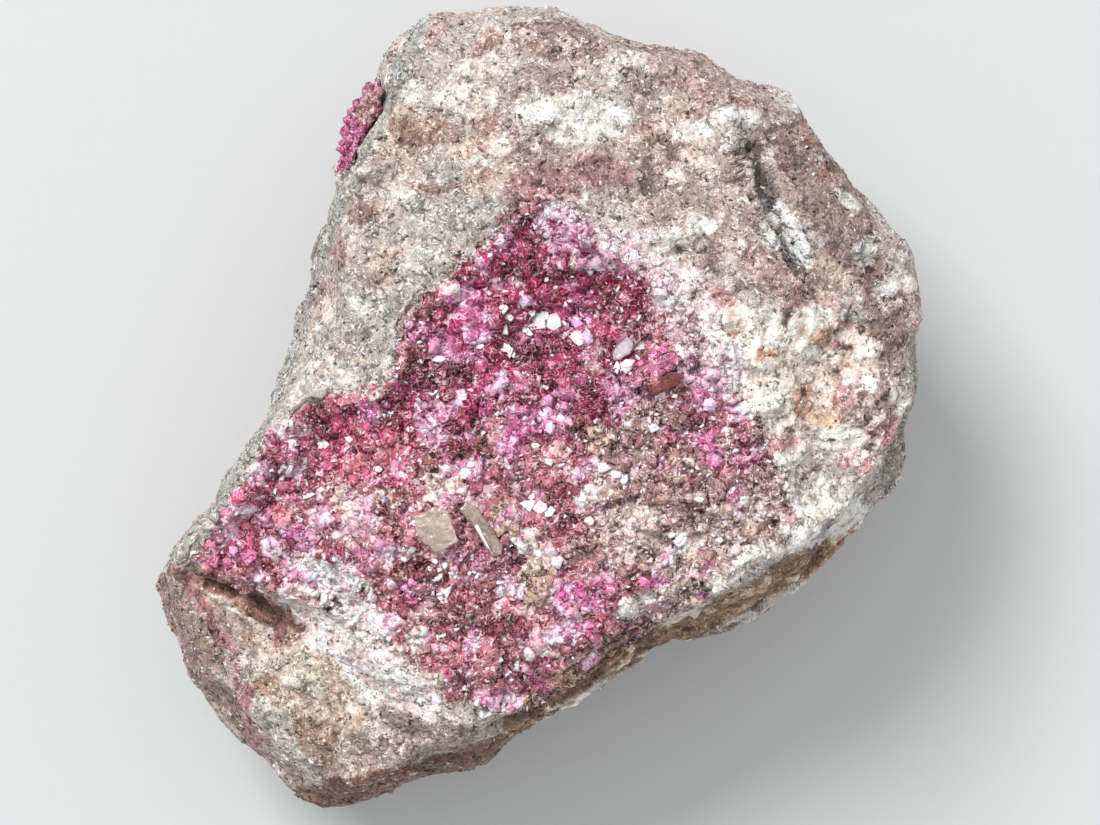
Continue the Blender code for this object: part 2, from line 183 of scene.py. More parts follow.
class Relief:
    """The relief of a broken surface at many points.

    Attributes:
        height: The whole relief in millimetres.
        fine: The part of it that the small cells give.
        dice: Random numbers of the cells of each layer, from large to small.
    """

    def __init__(self, count: int) -> None:
        """Starts flat, at so many points."""
        self.height, self.fine = np.zeros((2, count))
        self.dice: list[Numbers] = []

    def add(self, part: Numbers, dice: Numbers, fine: bool) -> None:
        """Adds a layer.

        Args:
            part: Its height in millimetres at each point.
            dice: Random numbers of the cell there.
            fine: Whether its cells are small.
        """
        self.height += part
        self.fine += part * fine
        self.dice.append(dice)


@dataclass(frozen=True)
class Hackle:
    """A hackly broken surface: layers of cells, from large to small."""

    layers: tuple[tuple[float, float], ...]  # Each layer's cell size and height in millimetres.
    seed: int  # Which surface it is.
    warp: float = 0.3  # How far the cells' edges are bent, in millimetres.
    small: float = 1.7  # The largest cell that counts as fine.

    def at(self, points: Numbers) -> Relief:
        """Reads the relief.

        Args:
            points: Places in millimetres.

        Returns:
            The relief there.
        """
        bent = [self.warp * SmoothField(1.1, 2, self.seed + 50 + k).at(points) for k in range(3)]
        bent = points + np.stack(bent, axis=1)
        relief = Relief(len(points))
        for layer, (size, height) in enumerate(self.layers):
            value, inside, dice = BrokenField(size, self.seed + layer).at(bent)
            relief.add(height * value * (0.7 + 0.3 * inside), dice, size < self.small)
        return relief


@dataclass(frozen=True)
class Druse:
    """Crystal corners that grow through each other, seen from above."""

    # Each layer's crystal size in millimetres and how much of its height is used.
    layers: tuple[tuple[float, float], ...]
    seed: int  # Which druse it is.
    lean: float = 48.0  # How far the crystals' axes lean at most, in degrees.
    small: float = 1.6  # The largest crystal that counts as fine.

    def at(self, points: Numbers) -> Relief:
        """Reads the relief.

        Args:
            points: Places in millimetres; their heights make no difference.

        Returns:
            The relief over them.
        """
        relief = Relief(len(points))
        for layer, (size, share) in enumerate(self.layers):
            height, dice = self._layer(points[:, :2] / size, self.seed + 100 * layer)
            relief.add(share * size * (height - height.mean()), dice, size < self.small)
        return relief

    def _layer(self, places: Numbers, seed: int) -> tuple[Numbers, Numbers]:
        """Finds the highest of the three faces of each crystal near each place.

        Args:
            places: Places across and along, measured in crystals.
            seed: Which crystals they are.

        Returns:
            The height of that face in crystals, and three random numbers of its own.
        """
        home = np.floor(places).astype(np.int64)
        highest, dice = np.full(len(places), -9.0), np.zeros((len(places), 3))
        for step in np.ndindex(3, 3):
            cell = np.column_stack([home + step - 1, np.zeros(len(places), np.int64)])
            seat, pose = scrambled(cell, seed), scrambled(cell, seed + 1)
            away = places - cell[:, :2] - seat[:, :2]
            lean, turn = math.radians(self.lean) * np.sqrt(pose[:, 0]), 2 * math.pi * pose[:, 1]
            flat = np.sin(lean)
            axis = np.stack([flat * np.cos(turn), flat * np.sin(turn), np.cos(lean)], axis=1)
            side = unit(np.cross(axis, np.array([0.31, 0.17, -0.93])))
            front = np.cross(axis, side)
            angles = [2 * math.pi * (pose[:, 2:] + corner / 3) for corner in range(3)]
            outs = [np.cos(angle) * side + np.sin(angle) * front for angle in angles]
            faces = np.stack([0.7 * axis + 0.714 * out for out in outs], axis=1)
            slopes = np.einsum("nki,ni->nk", faces[:, :, :2], away) / np.maximum(faces[:, :, 2], 0.2)
            height = 0.7 * seat[:, 2] - slopes.max(axis=1)
            wins = height > highest
            highest = np.where(wins, height, highest)
            own = scrambled(cell * 3 + slopes.argmax(axis=1)[:, None], seed + 2)
            dice = np.where(wins[:, None], own, dice)
        return highest, dice


@dataclass(frozen=True)
class PhotoView:
    """Where the photograph's camera stands over the specimen, and which pixel sees which point."""

    width: int = 1100  # The photograph's width in pixels.
    height: int = 825  # The photograph's height in pixels.
    pixel: float = 0.085  # How many millimetres of the rock's rim one pixel sees.
    rim_height: float = 22.0  # The height of that rim.
    # The pixel that looks at the frame's origin raised to the rim.
    origin: tuple[float, float] = (535.2, 411.1)
    lens: float = 150.0  # The camera's focal length in millimetres.
    sensor: float = 36.0  # The camera's sensor width in millimetres.

    @property
    def distance(self) -> float:
        """How far the camera stands above the rim."""
        return self.width * self.pixel * self.lens / self.sensor

    @property
    def eye(self) -> Numbers:
        """The camera's place."""
        aside, below = self.width / 2 - self.origin[0], self.origin[1] - self.height / 2
        return np.array([aside * self.pixel, below * self.pixel, self.rim_height + self.distance])

    def pixels(self, points: Numbers) -> tuple[Numbers, Numbers]:
        """Finds the pixels that see points.

        Args:
            points: Places in millimetres.

        Returns:
            The pixels' places across and down the photograph.
        """
        eye = self.eye
        reach = self.distance / self.pixel / (eye[2] - points[:, 2])
        across = self.width / 2 + (points[:, 0] - eye[0]) * reach
        down = self.height / 2 - (points[:, 1] - eye[1]) * reach
        return across, down

    def direction(self, across: float, down: float) -> Vector:
        """The direction in which a pixel looks."""
        x, y = (across - self.width / 2) * self.pixel, (self.height / 2 - down) * self.pixel
        return Vector((x, y, -self.distance)).normalized()

    def seen(self, tree: BVHTree, across: float, down: float) -> Vector | None:
        """The place on a surface that a pixel sees."""
        return tree.ray_cast(Vector(self.eye), self.direction(across, down))[0]


VIEW = PhotoView()


@dataclass(frozen=True)
class Mineral:
    """The colours and size of one kind of grain."""

    tint: Colour  # The colour of most of its grains.
    light: Colour  # The colour of its bright grains, and of the painted light on its raised relief.
    dark: Colour  # The colour of its dark grains, and of the painted shade in its crevices.
    bright: float = 0.26  # The share of bright grains.
    deep: float = 0.16  # The share of dark grains.
    grain: float = 0.42  # The usual size of a grain in millimetres.

    def row(self) -> Numbers:
        """The mineral as one row of numbers, its colours linear."""
        colours = [*linear(self.tint), *linear(self.light), *linear(self.dark)]
        return np.array([*colours, self.bright, self.deep, self.grain])


def beside_run(points: Pixels, across: Numbers, down: Numbers) -> tuple[Numbers, Numbers]:
    """How far pixels lie from a run of pixels.

    Args:
        points: The pixels that the run passes through.
        across: The places across the photograph.
        down: The places down it.

    Returns:
        The distances in pixels, and numbers above 0 on the run's right-hand side.
    """
    nearest, side = np.full(len(across), 1e9), np.zeros(len(across))
    for (ax, ay), (bx, by) in zip(points, points[1:]):
        dx, dy = bx - ax, by - ay
        along = np.clip(((across - ax) * dx + (down - ay) * dy) / (dx * dx + dy * dy), 0, 1)
        right, fall = across - ax - along * dx, down - ay - along * dy
        away = np.hypot(right, fall)
        closer = away < nearest
        nearest = np.where(closer, away, nearest)
        side = np.where(closer, dx * fall - dy * right, side)
    return nearest, side


def off_middle(x: float, y: float, heading: float, u: Numbers, v: Numbers) -> tuple[Numbers, Numbers]:
    """The pixels that lie u along a heading from a pixel, and v to the left of it."""
    turn = math.radians(heading)
    return x + u * math.cos(turn) - v * math.sin(turn), y - u * math.sin(turn) - v * math.cos(turn)


@dataclass(frozen=True)
class Zone:
    """A mineral and the places on the face where it lies."""

    mineral: Mineral  # What lies there.
    # Ellipses: the pixel of the middle, the two half-lengths in pixels, and the heading of the first in
    # degrees, counter-clockwise from the right.
    spots: tuple[Spot, ...] = ()
    # Bands: half the width in pixels, and the pixels that the band passes through.
    runs: tuple[tuple[float, Pixels], ...] = ()
    strength: float = 1.0  # How fully the mineral covers what lies under it.
    soft: float = 0.5  # The share of a spot over which it fades out.
    loose: float = 1.0  # How far its edges wander, against those of the others.

    def cover(self, across: Numbers, down: Numbers) -> Numbers:
        """How much of this zone's mineral lies at each pixel.

        Args:
            across: The pixels' places across the photograph.
            down: Their places down it.

        Returns:
            A value from 0 to 1 for each pixel.
        """
        most = np.zeros(len(across))
        for x, y, long, short, heading in self.spots:
            u, v = turned(across - x, y - down, heading)
            most = np.maximum(most, self._faded(np.hypot(u / long, v / short)))
        for width, points in self.runs:
            most = np.maximum(most, self._faded(beside_run(points, across, down)[0] / width))
        return most * self.strength

    def _faded(self, away: Numbers) -> Numbers:
        """1 inside a spot or run, fading out where the distance from its middle comes to 1."""
        return smooth_step((1 + self.soft / 2 - away) / self.soft)


@dataclass(frozen=True)
class Crease:
    """A ridge, a groove or a step across the face."""

    points: Pixels  # The pixels that it passes through.
    height: float  # How far it rises in millimetres, or falls if negative.
    width: float  # Half its width in pixels.
    step: bool = False  # Whether only its right-hand side, going along it, is raised or lowered.

    @property
    def crisp(self) -> bool:
        """Whether it is too narrow for coarse triangles."""
        return self.width < 9 or self.step

    def at(self, across: Numbers, down: Numbers) -> Numbers:
        """The height that it adds at each pixel.

        Args:
            across: The pixels' places across the photograph.
            down: Their places down it.

        Returns:
            Heights in millimetres.
        """
        nearest, side = beside_run(self.points, across, down)
        rise = self.height * np.exp(-((nearest / self.width) ** 2))
        return np.where(side > 0, rise, 0) if self.step else rise


@dataclass(frozen=True)
class Fibres:
    """Fine layers that run one way over part of the face."""

    area: Zone  # Where they lie; only its spots and runs are used.
    heading: float  # Which way they run, in degrees from the right, counter-clockwise.
    pitch: float = 0.5  # Their size across in millimetres.
    height: float = 0.25  # The height of their relief in millimetres.

    def at(self, points: Numbers) -> tuple[Numbers, Numbers]:
        """Reads the fibres at points.

        Args:
            points: Places in millimetres.

        Returns:
            The height that they add in millimetres, and a factor for the colour.
        """
        along, beside = turned(points[:, 0], points[:, 1], self.heading)
        laid = np.stack([along / 9, beside + 0.7 * points[:, 2], points[:, 2] / 9], axis=1)
        value = SmoothField(self.pitch, 3, 33).at(laid)
        cover = self.area.cover(*VIEW.pixels(points))
        return self.height * value * cover, np.clip(1 + 1.3 * value * cover, 0.35, 1.6)


@dataclass
class Paint:
    """The colours and grain sizes of many points."""

    rows: Numbers  # For each point, a row as Mineral.row gives it.

    tint = property(lambda self: self.rows[:, 0:3])
    light = property(lambda self: self.rows[:, 3:6])
    dark = property(lambda self: self.rows[:, 6:9])
    bright = property(lambda self: self.rows[:, 9])
    deep = property(lambda self: self.rows[:, 10])
    grain = property(lambda self: self.rows[:, 11])

    def lay(self, mineral: Mineral, cover: Numbers, where: Numbers | slice = slice(None)) -> None:
        """Lays a mineral, over some points, as fully as the shares from 0 to 1 say."""
        self.rows[where] += cover[:, None] * (mineral.row() - self.rows[where])

    def mixed(self, light: Numbers, dark: Numbers) -> Numbers:
        """The tints, drawn towards the light and then the dark colours by shares from 0 to 1."""
        colour = self.tint + light[:, None] * (self.light - self.tint)
        return colour + dark[:, None] * (self.dark - colour)

    def picked(self, dice: Numbers, drift: float) -> Numbers:
        """One colour for each grain.

        Args:
            dice: Three random numbers from 0 to 1 for each grain.
            drift: How much grains of one kind differ in lightness.

        Returns:
            Linear colours.
        """
        light = smooth_step((dice[:, 0] - 1 + self.bright) / 0.15)
        dark = smooth_step((0.6 * self.deep - dice[:, 0]) / 0.1)
        return self.mixed(0.9 * light, 0.7 * dark) * (1 + drift * (2 * dice[:, 1:2] - 1))

    def broken(self, points: Numbers, relief: Relief, crevice_shade_depth: float, clump: float) -> Numbers:
        """Colours of a hackly surface, in clumps, with painted shade in its crevices and painted light on
        its raised parts.

        Args:
            points: The surface's points in millimetres.
            relief: Its relief there.
            crevice_shade_depth: The depth in millimetres at which the painted shade in crevices is darkest.
            clump: The size in millimetres of the clumps of light and dark grains.

        Returns:
            Linear colours.
        """
        lean = 1.15 * SmoothField(clump, 3, 62).at(points) + 0.4 * (2 * relief.dice[-2][:, 0] - 1)
        # Raised relief leans towards the light colour and low relief towards the dark: painted light and
        # shade.
        lean += 0.22 * relief.height / (relief.height.std() + 1e-6)
        light = smooth_step((lean - 0.8 + 1.6 * self.bright) / 0.5)
        dark = smooth_step((-lean - 0.8 + 1.6 * self.deep) / 0.5)
        # Crevices are drawn towards the dark colour: painted shade.
        dark = np.maximum(0.8 * dark, 0.7 * smooth_step((-relief.fine - 0.3 * crevice_shade_depth) / crevice_shade_depth))
        lift = sum(0.1 * (2 * dice[:, 2:3] - 1) for dice in relief.dice[-3:])
        return self.mixed(0.85 * light, dark) * (1 + lift)


GREY_ROCK = Mineral((181, 168, 159), (228, 218, 209), (128, 108, 98))
RED_ROCK = Mineral((160, 132, 123), (206, 188, 180), (112, 82, 74))
PALE_ROCK = Mineral((194, 185, 177), (240, 235, 228), (150, 138, 130), 0.34, 0.14)
TAN_ROCK = Mineral((198, 171, 156), (232, 214, 201), (146, 114, 100))
PINK_STAIN = Mineral((196, 140, 152), (226, 190, 202), (136, 72, 92))

ROCK_ZONES = (
    # Fine brown grains of the upper right.
    Zone(Mineral((168, 146, 135), (220, 206, 196), (92, 70, 62), 0.28, 0.22, 0.34),
         spots=((701, 185, 88, 42, -10), (640, 165, 46, 26, 0), (700, 240, 70, 26, -20))),
    # Mauve brown of the right side and the top.
    Zone(Mineral((174, 142, 133), (212, 186, 179), (120, 84, 80), 0.24, 0.16, 0.4),
         spots=((699, 75, 54, 24, -18), (790, 285, 60, 20, -30), (430, 32, 26, 14, 30))),
    Zone(Mineral((146, 118, 109), (204, 184, 176), (94, 68, 62), 0.24, 0.22, 0.4),
         spots=((826, 195, 76, 34, -58), (882, 320, 26, 44, 5), (860, 255, 40, 22, -60),
             (800, 150, 30, 20, -40), (878, 408, 18, 26, 0), (556, 42, 50, 20, -8))),
    # Rusty patches.
    Zone(Mineral((158, 118, 106), (202, 170, 158), (104, 66, 56), 0.22, 0.18, 0.36),
         spots=((421, 131, 38, 17, -10), (487, 122, 20, 9, -15), (364, 217, 14, 11, 0),
             (813, 134, 22, 7, -62), (739, 102, 12, 8, 0), (657, 134, 15, 12, 0), (794, 293, 9, 14, 0),
             (412, 306, 12, 20, -20), (437, 192, 34, 6, -5), (340, 250, 8, 22, -10), (484, 40, 16, 9, 20),
             (835, 170, 10, 20, -30)), strength=0.85),
    # White and pale grey rock.
    Zone(Mineral((214, 210, 202), (244, 242, 237), (166, 160, 152), 0.36, 0.1, 0.44),
         spots=((414, 88, 13, 13, 0), (590, 128, 44, 14, 8), (575, 108, 46, 16, 8), (694, 129, 22, 11, 0),
             (788, 101, 15, 5, -32), (850, 197, 13, 6, -40), (868, 251, 12, 14, 0), (886, 286, 13, 7, 0),
             (659, 244, 28, 12, 12), (699, 224, 14, 9, 0), (612, 245, 26, 12, -20), (745, 118, 16, 7, -20),
             (393, 199, 14, 8, 0), (345, 385, 24, 6, -10), (470, 160, 14, 6, 30)), strength=0.9),
    # Cooler grey of the slab.
    Zone(Mineral((167, 159, 150), (236, 231, 223), (120, 108, 98), 0.35, 0.22, 0.44),
         spots=((453, 217, 48, 24, -5), (419, 262, 32, 20, 0), (367, 319, 34, 26, 0),
             (335, 372, 30, 12, -10), (395, 350, 26, 16, 20), (500, 215, 20, 24, 40), (440, 175, 26, 10, 0),
             (385, 235, 20, 14, 0), (330, 330, 12, 30, -10), (405, 300, 20, 16, 0)), strength=0.85),
    # Cream and pink tinge on the slab.
    Zone(Mineral((238, 219, 206), (253, 244, 234), (176, 144, 130), 0.34, 0.1, 0.46),
         spots=((469, 99, 30, 18, 10), (480, 66, 22, 12, 20), (330, 308, 9, 13, 0), (497, 150, 14, 9, 40),
             (325, 372, 30, 7, -8)), strength=0.9),
    # Shiny grey cleavage beside the ledge, its shine painted in as near-white grains: a painted reflection.
    Zone(Mineral((242, 241, 240), (255, 255, 255), (140, 134, 132), 0.5, 0.14, 0.6),
         spots=((797, 247, 25, 11, -65), (783, 214, 15, 7, -60)), loose=0.4),
    # Painted shadow along the ledge, dark grey.
    Zone(Mineral((96, 80, 76), (160, 146, 142), (52, 40, 38), 0.16, 0.3, 0.36),
         spots=((757, 148, 9, 6, -50), (768, 192, 9, 18, 20)),
         runs=((4.6, ((748, 146), (760, 184), (774, 222), (787, 256), (795, 270))),), strength=0.85,
         loose=0.25),
    # Brown red sugar above the crust's tip.
    Zone(Mineral((156, 113, 110), (214, 182, 178), (92, 48, 54), 0.27, 0.24, 0.4),
         spots=((545, 188, 42, 26, 10), (526, 207, 28, 14, 40), (600, 172, 36, 18, 0)), strength=0.95),
    # Grey bevel of the left side.
    Zone(Mineral((156, 152, 144), (202, 198, 191), (102, 98, 91), 0.24, 0.2, 0.42),
         runs=((8.0, ((424, 22), (392, 88), (345, 190), (318, 262), (298, 330), (274, 408), (240, 468),
                 (200, 530), (165, 575))),), strength=0.9, loose=0.6),
    # Grey knob at the far left.
    Zone(Mineral((154, 126, 113), (206, 186, 175), (108, 80, 68), 0.22, 0.18, 0.45),
         spots=((170, 598, 20, 34, 5), (194, 655, 26, 46, 12), (225, 714, 18, 36, 25))),
    # Greenish grey of the right edge.
    Zone(Mineral((148, 142, 130), (200, 196, 185), (94, 86, 76), 0.24, 0.2, 0.4),
         spots=((908, 372, 7, 30, -8), (853, 317, 16, 10, 0), (905, 430, 7, 20, -20),
             (888, 474, 9, 14, -30)), strength=0.85),
    # Cream and tan of the lower left facet.
    Zone(Mineral((203, 178, 161), (240, 226, 214), (140, 108, 92), 0.32, 0.2, 0.46),
         spots=((300, 676, 50, 42, -50), (330, 715, 46, 34, -50))),
    # Golden and brown grains there.
    Zone(Mineral((162, 128, 104), (200, 172, 148), (108, 78, 60), 0.2, 0.22, 0.42),
         spots=((266, 685, 15, 13, 0), (324, 738, 30, 22, -20), (286, 640, 14, 8, -30),
             (250, 640, 12, 9, -30)), strength=0.85),
    # Pale greenish grey grains there.
    Zone(Mineral((208, 200, 184), (246, 242, 230), (146, 134, 114), 0.36, 0.16, 0.42),
         spots=((304, 678, 26, 16, -50), (282, 662, 14, 9, -30), (345, 748, 8, 22, 0),
             (262, 705, 8, 14, 20)), strength=0.6),
    # The shaded hollow under the crust's ridge, painted dark brown as shade.
    Zone(Mineral((128, 84, 70), (198, 158, 146), (60, 38, 32), 0.24, 0.3, 0.36),
         spots=((230, 590, 42, 12, -24), (262, 610, 38, 11, -28), (288, 624, 18, 8, -20))),
    # The pink brown seam down the left.
    Zone(Mineral((160, 104, 108), (206, 154, 158), (96, 54, 60), 0.22, 0.22, 0.4),
         spots=((249, 695, 7, 16, 10), (276, 637, 8, 12, -20)),
         runs=((5.0, ((181, 571), (212, 620), (232, 661), (238, 697), (249, 722), (262, 755))),),
         strength=0.9),
    # Brown side strip along the bottom, darkened as painted shade.
    Zone(Mineral((126, 84, 68), (190, 158, 142), (70, 44, 36), 0.22, 0.24, 0.42),
         runs=((18.0, ((285, 804), (325, 800), (370, 788), (430, 777), (485, 763), (522, 740))),),
         loose=0.5),
)

ROCK_CREASES = (
    Crease(((345, 174), (372, 170), (399, 166), (430, 178), (461, 177), (480, 165), (509, 152),
            (537, 131)), 0.75, 6),
    Crease(((352, 184), (400, 180), (432, 192), (466, 190), (486, 178)), -0.5, 6),
    Crease(((554, 121), (575, 127), (600, 140), (625, 153)), 0.4, 7),
    Crease(((550, 122), (572, 104), (592, 92), (633, 86)), 0.4, 6),
    Crease(((444, 34), (463, 66), (478, 98), (500, 108)), 0.45, 8),
    Crease(((492, 50), (494, 84), (520, 108), (548, 118)), -0.35, 6),
    Crease(((744, 143), (756, 180), (770, 220), (783, 256), (794, 272)), 2.4, 54, True),
    Crease(((794, 272), (783, 256), (770, 220), (756, 180), (744, 143)), -0.6, 24, True),
    Crease(((186, 569), (225, 573), (262, 582), (284, 591)), 0.45, 5),
    Crease(((190, 577), (232, 586), (266, 598), (284, 608)), -0.75, 6),
    Crease(((194, 586), (236, 600), (268, 620)), 0.45, 5),
    Crease(((200, 592), (214, 622), (230, 650)), -0.6, 5),
    Crease(((850, 230), (866, 262), (858, 300)), 0.4, 8),
    Crease(((640, 60), (676, 88), (716, 96), (752, 122)), 0.4, 8),
    Crease(((520, 712), (560, 680), (604, 644), (642, 616), (690, 590), (726, 574), (760, 552)), 1.2, 17),
    Crease(((760, 552), (794, 536), (838, 512)), 0.8, 14),
    Crease(((296, 676), (304, 700), (311, 722)), 0.4, 5),
    Crease(((286, 668), (294, 700), (300, 726)), -0.4, 5),
    Crease(((343, 719), (344, 745), (343, 772)), 0.45, 6),
    Crease(((330, 782), (370, 772), (415, 764), (462, 752)), 0.35, 6),
    Crease(((372, 722), (398, 732), (428, 738)), -0.5, 6),
    Crease(((800, 470), (818, 458), (846, 452)), -0.4, 6),
)

ROCK_FIBRES = (
    Fibres(Zone(GREY_ROCK, runs=(
        (17.0, ((850, 534), (765, 588), (692, 628), (622, 658), (562, 692), (515, 725))),
        (13.0, ((650, 631), (604, 653), (568, 679), (530, 709))),
    )), 29.0, 0.42, 0.6),
    Fibres(Zone(GREY_ROCK, spots=((238, 599, 62, 24, -26),)), -33.0, 0.4, 0.5),
)


def carved(points: Numbers, normals: Numbers) -> tuple[Numbers, Numbers]:
    """The ridges, grooves, steps and fibres of the face.

    Args:
        points: Places in millimetres.
        normals: The directions in which the surface looks there.

    Returns:
        The height that they add in millimetres, and a factor for the colour.
    """
    across, down = VIEW.pixels(points)
    across = across + 3 * SmoothField(1.2, 2, 15).at(points)
    down = down + 3 * SmoothField(1.2, 2, 16).at(points)
    total = sum(crease.at(across, down) for crease in ROCK_CREASES)
    total = total * smooth_step((normals[:, 2] - 0.1) / 0.4)
    stripes = np.ones(len(points))
    for fibres in ROCK_FIBRES:
        height, factor = fibres.at(points)
        total += height * smooth_step((points[:, 2] - 8) / 6)
        stripes *= factor
    return total, stripes


def bare(points: Numbers) -> Numbers:
    """Whether points lie clear of the fibres."""
    return np.all([fibres.area.cover(*VIEW.pixels(points)) < 0.3 for fibres in ROCK_FIBRES], axis=0)


# Where the rock's small breaks are deepest.
ROUGH_GROUND = Zone(GREY_ROCK, spots=(
    (800, 380, 92, 84, 0), (850, 450, 50, 40, 0), (690, 300, 60, 50, -40), (305, 700, 66, 50, -50),
    (375, 665, 50, 36, -40),
))

SHARED_ZONES = (
    # Fibrous side strip along the lower right: brown fibres, darkened further as painted shade.
    Zone(Mineral((140, 104, 74), (222, 202, 178), (60, 34, 20), 0.28, 0.3, 0.34),
         runs=((12.5, ((846, 537), (765, 587), (692, 626), (622, 656), (562, 692), (515, 724))),
               (12, ((650, 630), (604, 653), (568, 679), (530, 709)))), loose=0.4),
    # Its darker end: painted shade.
    Zone(Mineral((96, 62, 42), (172, 138, 116), (46, 26, 16), 0.18, 0.3, 0.34),
         runs=((10.0, ((648, 640), (604, 661), (568, 686), (532, 712))),), strength=0.8, loose=0.4),
    # Pale grains between the crust and the brown rock.
    Zone(Mineral((238, 214, 214), (255, 248, 248), (152, 102, 114), 0.34, 0.28, 0.36),
         spots=((560, 213, 18, 11, -30), (603, 240, 34, 14, -22), (645, 262, 38, 15, -25),
             (684, 292, 34, 24, -40), (706, 335, 40, 34, -60), (725, 372, 30, 24, -50),
             (640, 236, 26, 10, -15)), strength=0.92),
    # Cream and orange sugar of the right side.
    Zone(Mineral((255, 233, 217), (255, 248, 238), (180, 124, 102), 0.56, 0.08, 0.4),
         spots=((815, 320, 22, 15, 0), (796, 365, 38, 26, -30), (768, 338, 32, 24, 0),
             (820, 390, 22, 14, 0), (852, 352, 26, 20, 0), (745, 326, 26, 20, 0), (800, 454, 26, 12, 10),
             (760, 398, 32, 22, 0), (862, 380, 16, 18, 0), (838, 440, 26, 18, 0), (790, 428, 14, 12, 0)),
         strength=0.9),
    # Golden grains among them.
    Zone(Mineral((190, 142, 112), (230, 194, 164), (116, 78, 58), 0.26, 0.26, 0.38),
         spots=((824, 419, 20, 11, 0), (803, 408, 15, 11, 0), (822, 337, 14, 5, 30), (803, 392, 13, 8, 0),
             (769, 352, 9, 6, 0)), strength=0.85),
    # Pink grains among them.
    Zone(Mineral((202, 142, 140), (250, 222, 224), (98, 50, 54), 0.34, 0.3, 0.38),
         spots=((850, 390, 20, 11, 45), (835, 345, 9, 6, 0), (884, 433, 18, 16, 0), (788, 442, 12, 7, 0),
             (740, 456, 11, 8, 0), (856, 462, 20, 14, 0), (774, 441, 22, 9, 0), (843, 327, 8, 5, -30),
             (727, 300, 14, 10, 0)), strength=0.85),
    # Painted shade in the pits of the right side.
    Zone(Mineral((96, 74, 64), (140, 112, 98), (50, 34, 28), 0.15, 0.4, 0.34),
         spots=((847, 347, 6, 4, 0), (803, 392, 4, 6, 0), (861, 408, 9, 2.5, -5), (785, 318, 5, 12, -20),
             (694, 293, 4, 4, 0), (812, 472, 13, 3, 25), (803, 479, 5, 3, 0), (863, 398, 6, 4, 0),
             (702, 283, 7, 3, 40), (776, 372, 3, 4, 0), (838, 372, 4, 3, 0), (757, 418, 5, 3, 30),
             (830, 440, 6, 3, 0), (778, 400, 4, 3, 0), (878, 412, 5, 4, 0), (868, 448, 6, 3, 20),
             (866, 424, 8, 4, 30), (884, 398, 6, 5, 0), (872, 436, 5, 3, -20), (746, 368, 3, 4, 0),
             (790, 430, 5, 3, -20), (815, 362, 4, 3, 0)), strength=0.9, soft=0.8, loose=0.5),
    # White sugar along the lower right rim.
    Zone(Mineral((255, 246, 234), (255, 254, 250), (132, 98, 78), 0.5, 0.3, 0.36),
         spots=((838, 517, 30, 17, 40), (792, 540, 32, 13, 25), (758, 553, 26, 12, 25),
             (724, 577, 24, 10, 30), (634, 608, 22, 8, 15), (822, 500, 30, 16, 30), (682, 541, 12, 9, 0)),
         strength=0.9),
    # Grey patches of the rim.
    Zone(Mineral((142, 126, 114), (198, 184, 172), (84, 68, 58), 0.24, 0.24, 0.38),
         spots=((827, 523, 13, 7, 35), (690, 592, 26, 8, 18), (404, 724, 36, 12, -18),
             (372, 736, 22, 8, -10)), strength=0.85),
    # Chalky white grains of the lower left.
    Zone(Mineral((255, 226, 222), (255, 248, 244), (190, 124, 130), 0.5, 0.18, 0.34),
         spots=((322, 564, 32, 12, -10), (302, 612, 16, 12, -30), (343, 583, 28, 13, -10),
             (312, 598, 34, 13, -8), (348, 622, 36, 24, -40), (378, 672, 36, 26, -42),
             (358, 648, 30, 28, -40), (415, 694, 28, 15, -28), (322, 640, 16, 18, -40)), strength=0.92),
    # Black specks in the chalk.
    Zone(Mineral((48, 40, 48), (84, 72, 82), (22, 18, 24), 0.2, 0.4, 0.3),
         spots=((327, 609, 6, 5, 0), (322, 594, 4, 4, 0), (335, 602, 4, 3, 0), (324, 586, 3, 2, 0),
             (339, 607, 4, 3, -30)), soft=0.9),
)

CHALK = SHARED_ZONES[-2]

CRUST_BASE = Mineral((176, 100, 112), (250, 216, 224), (94, 30, 42), 0.32, 0.44, 0.46)

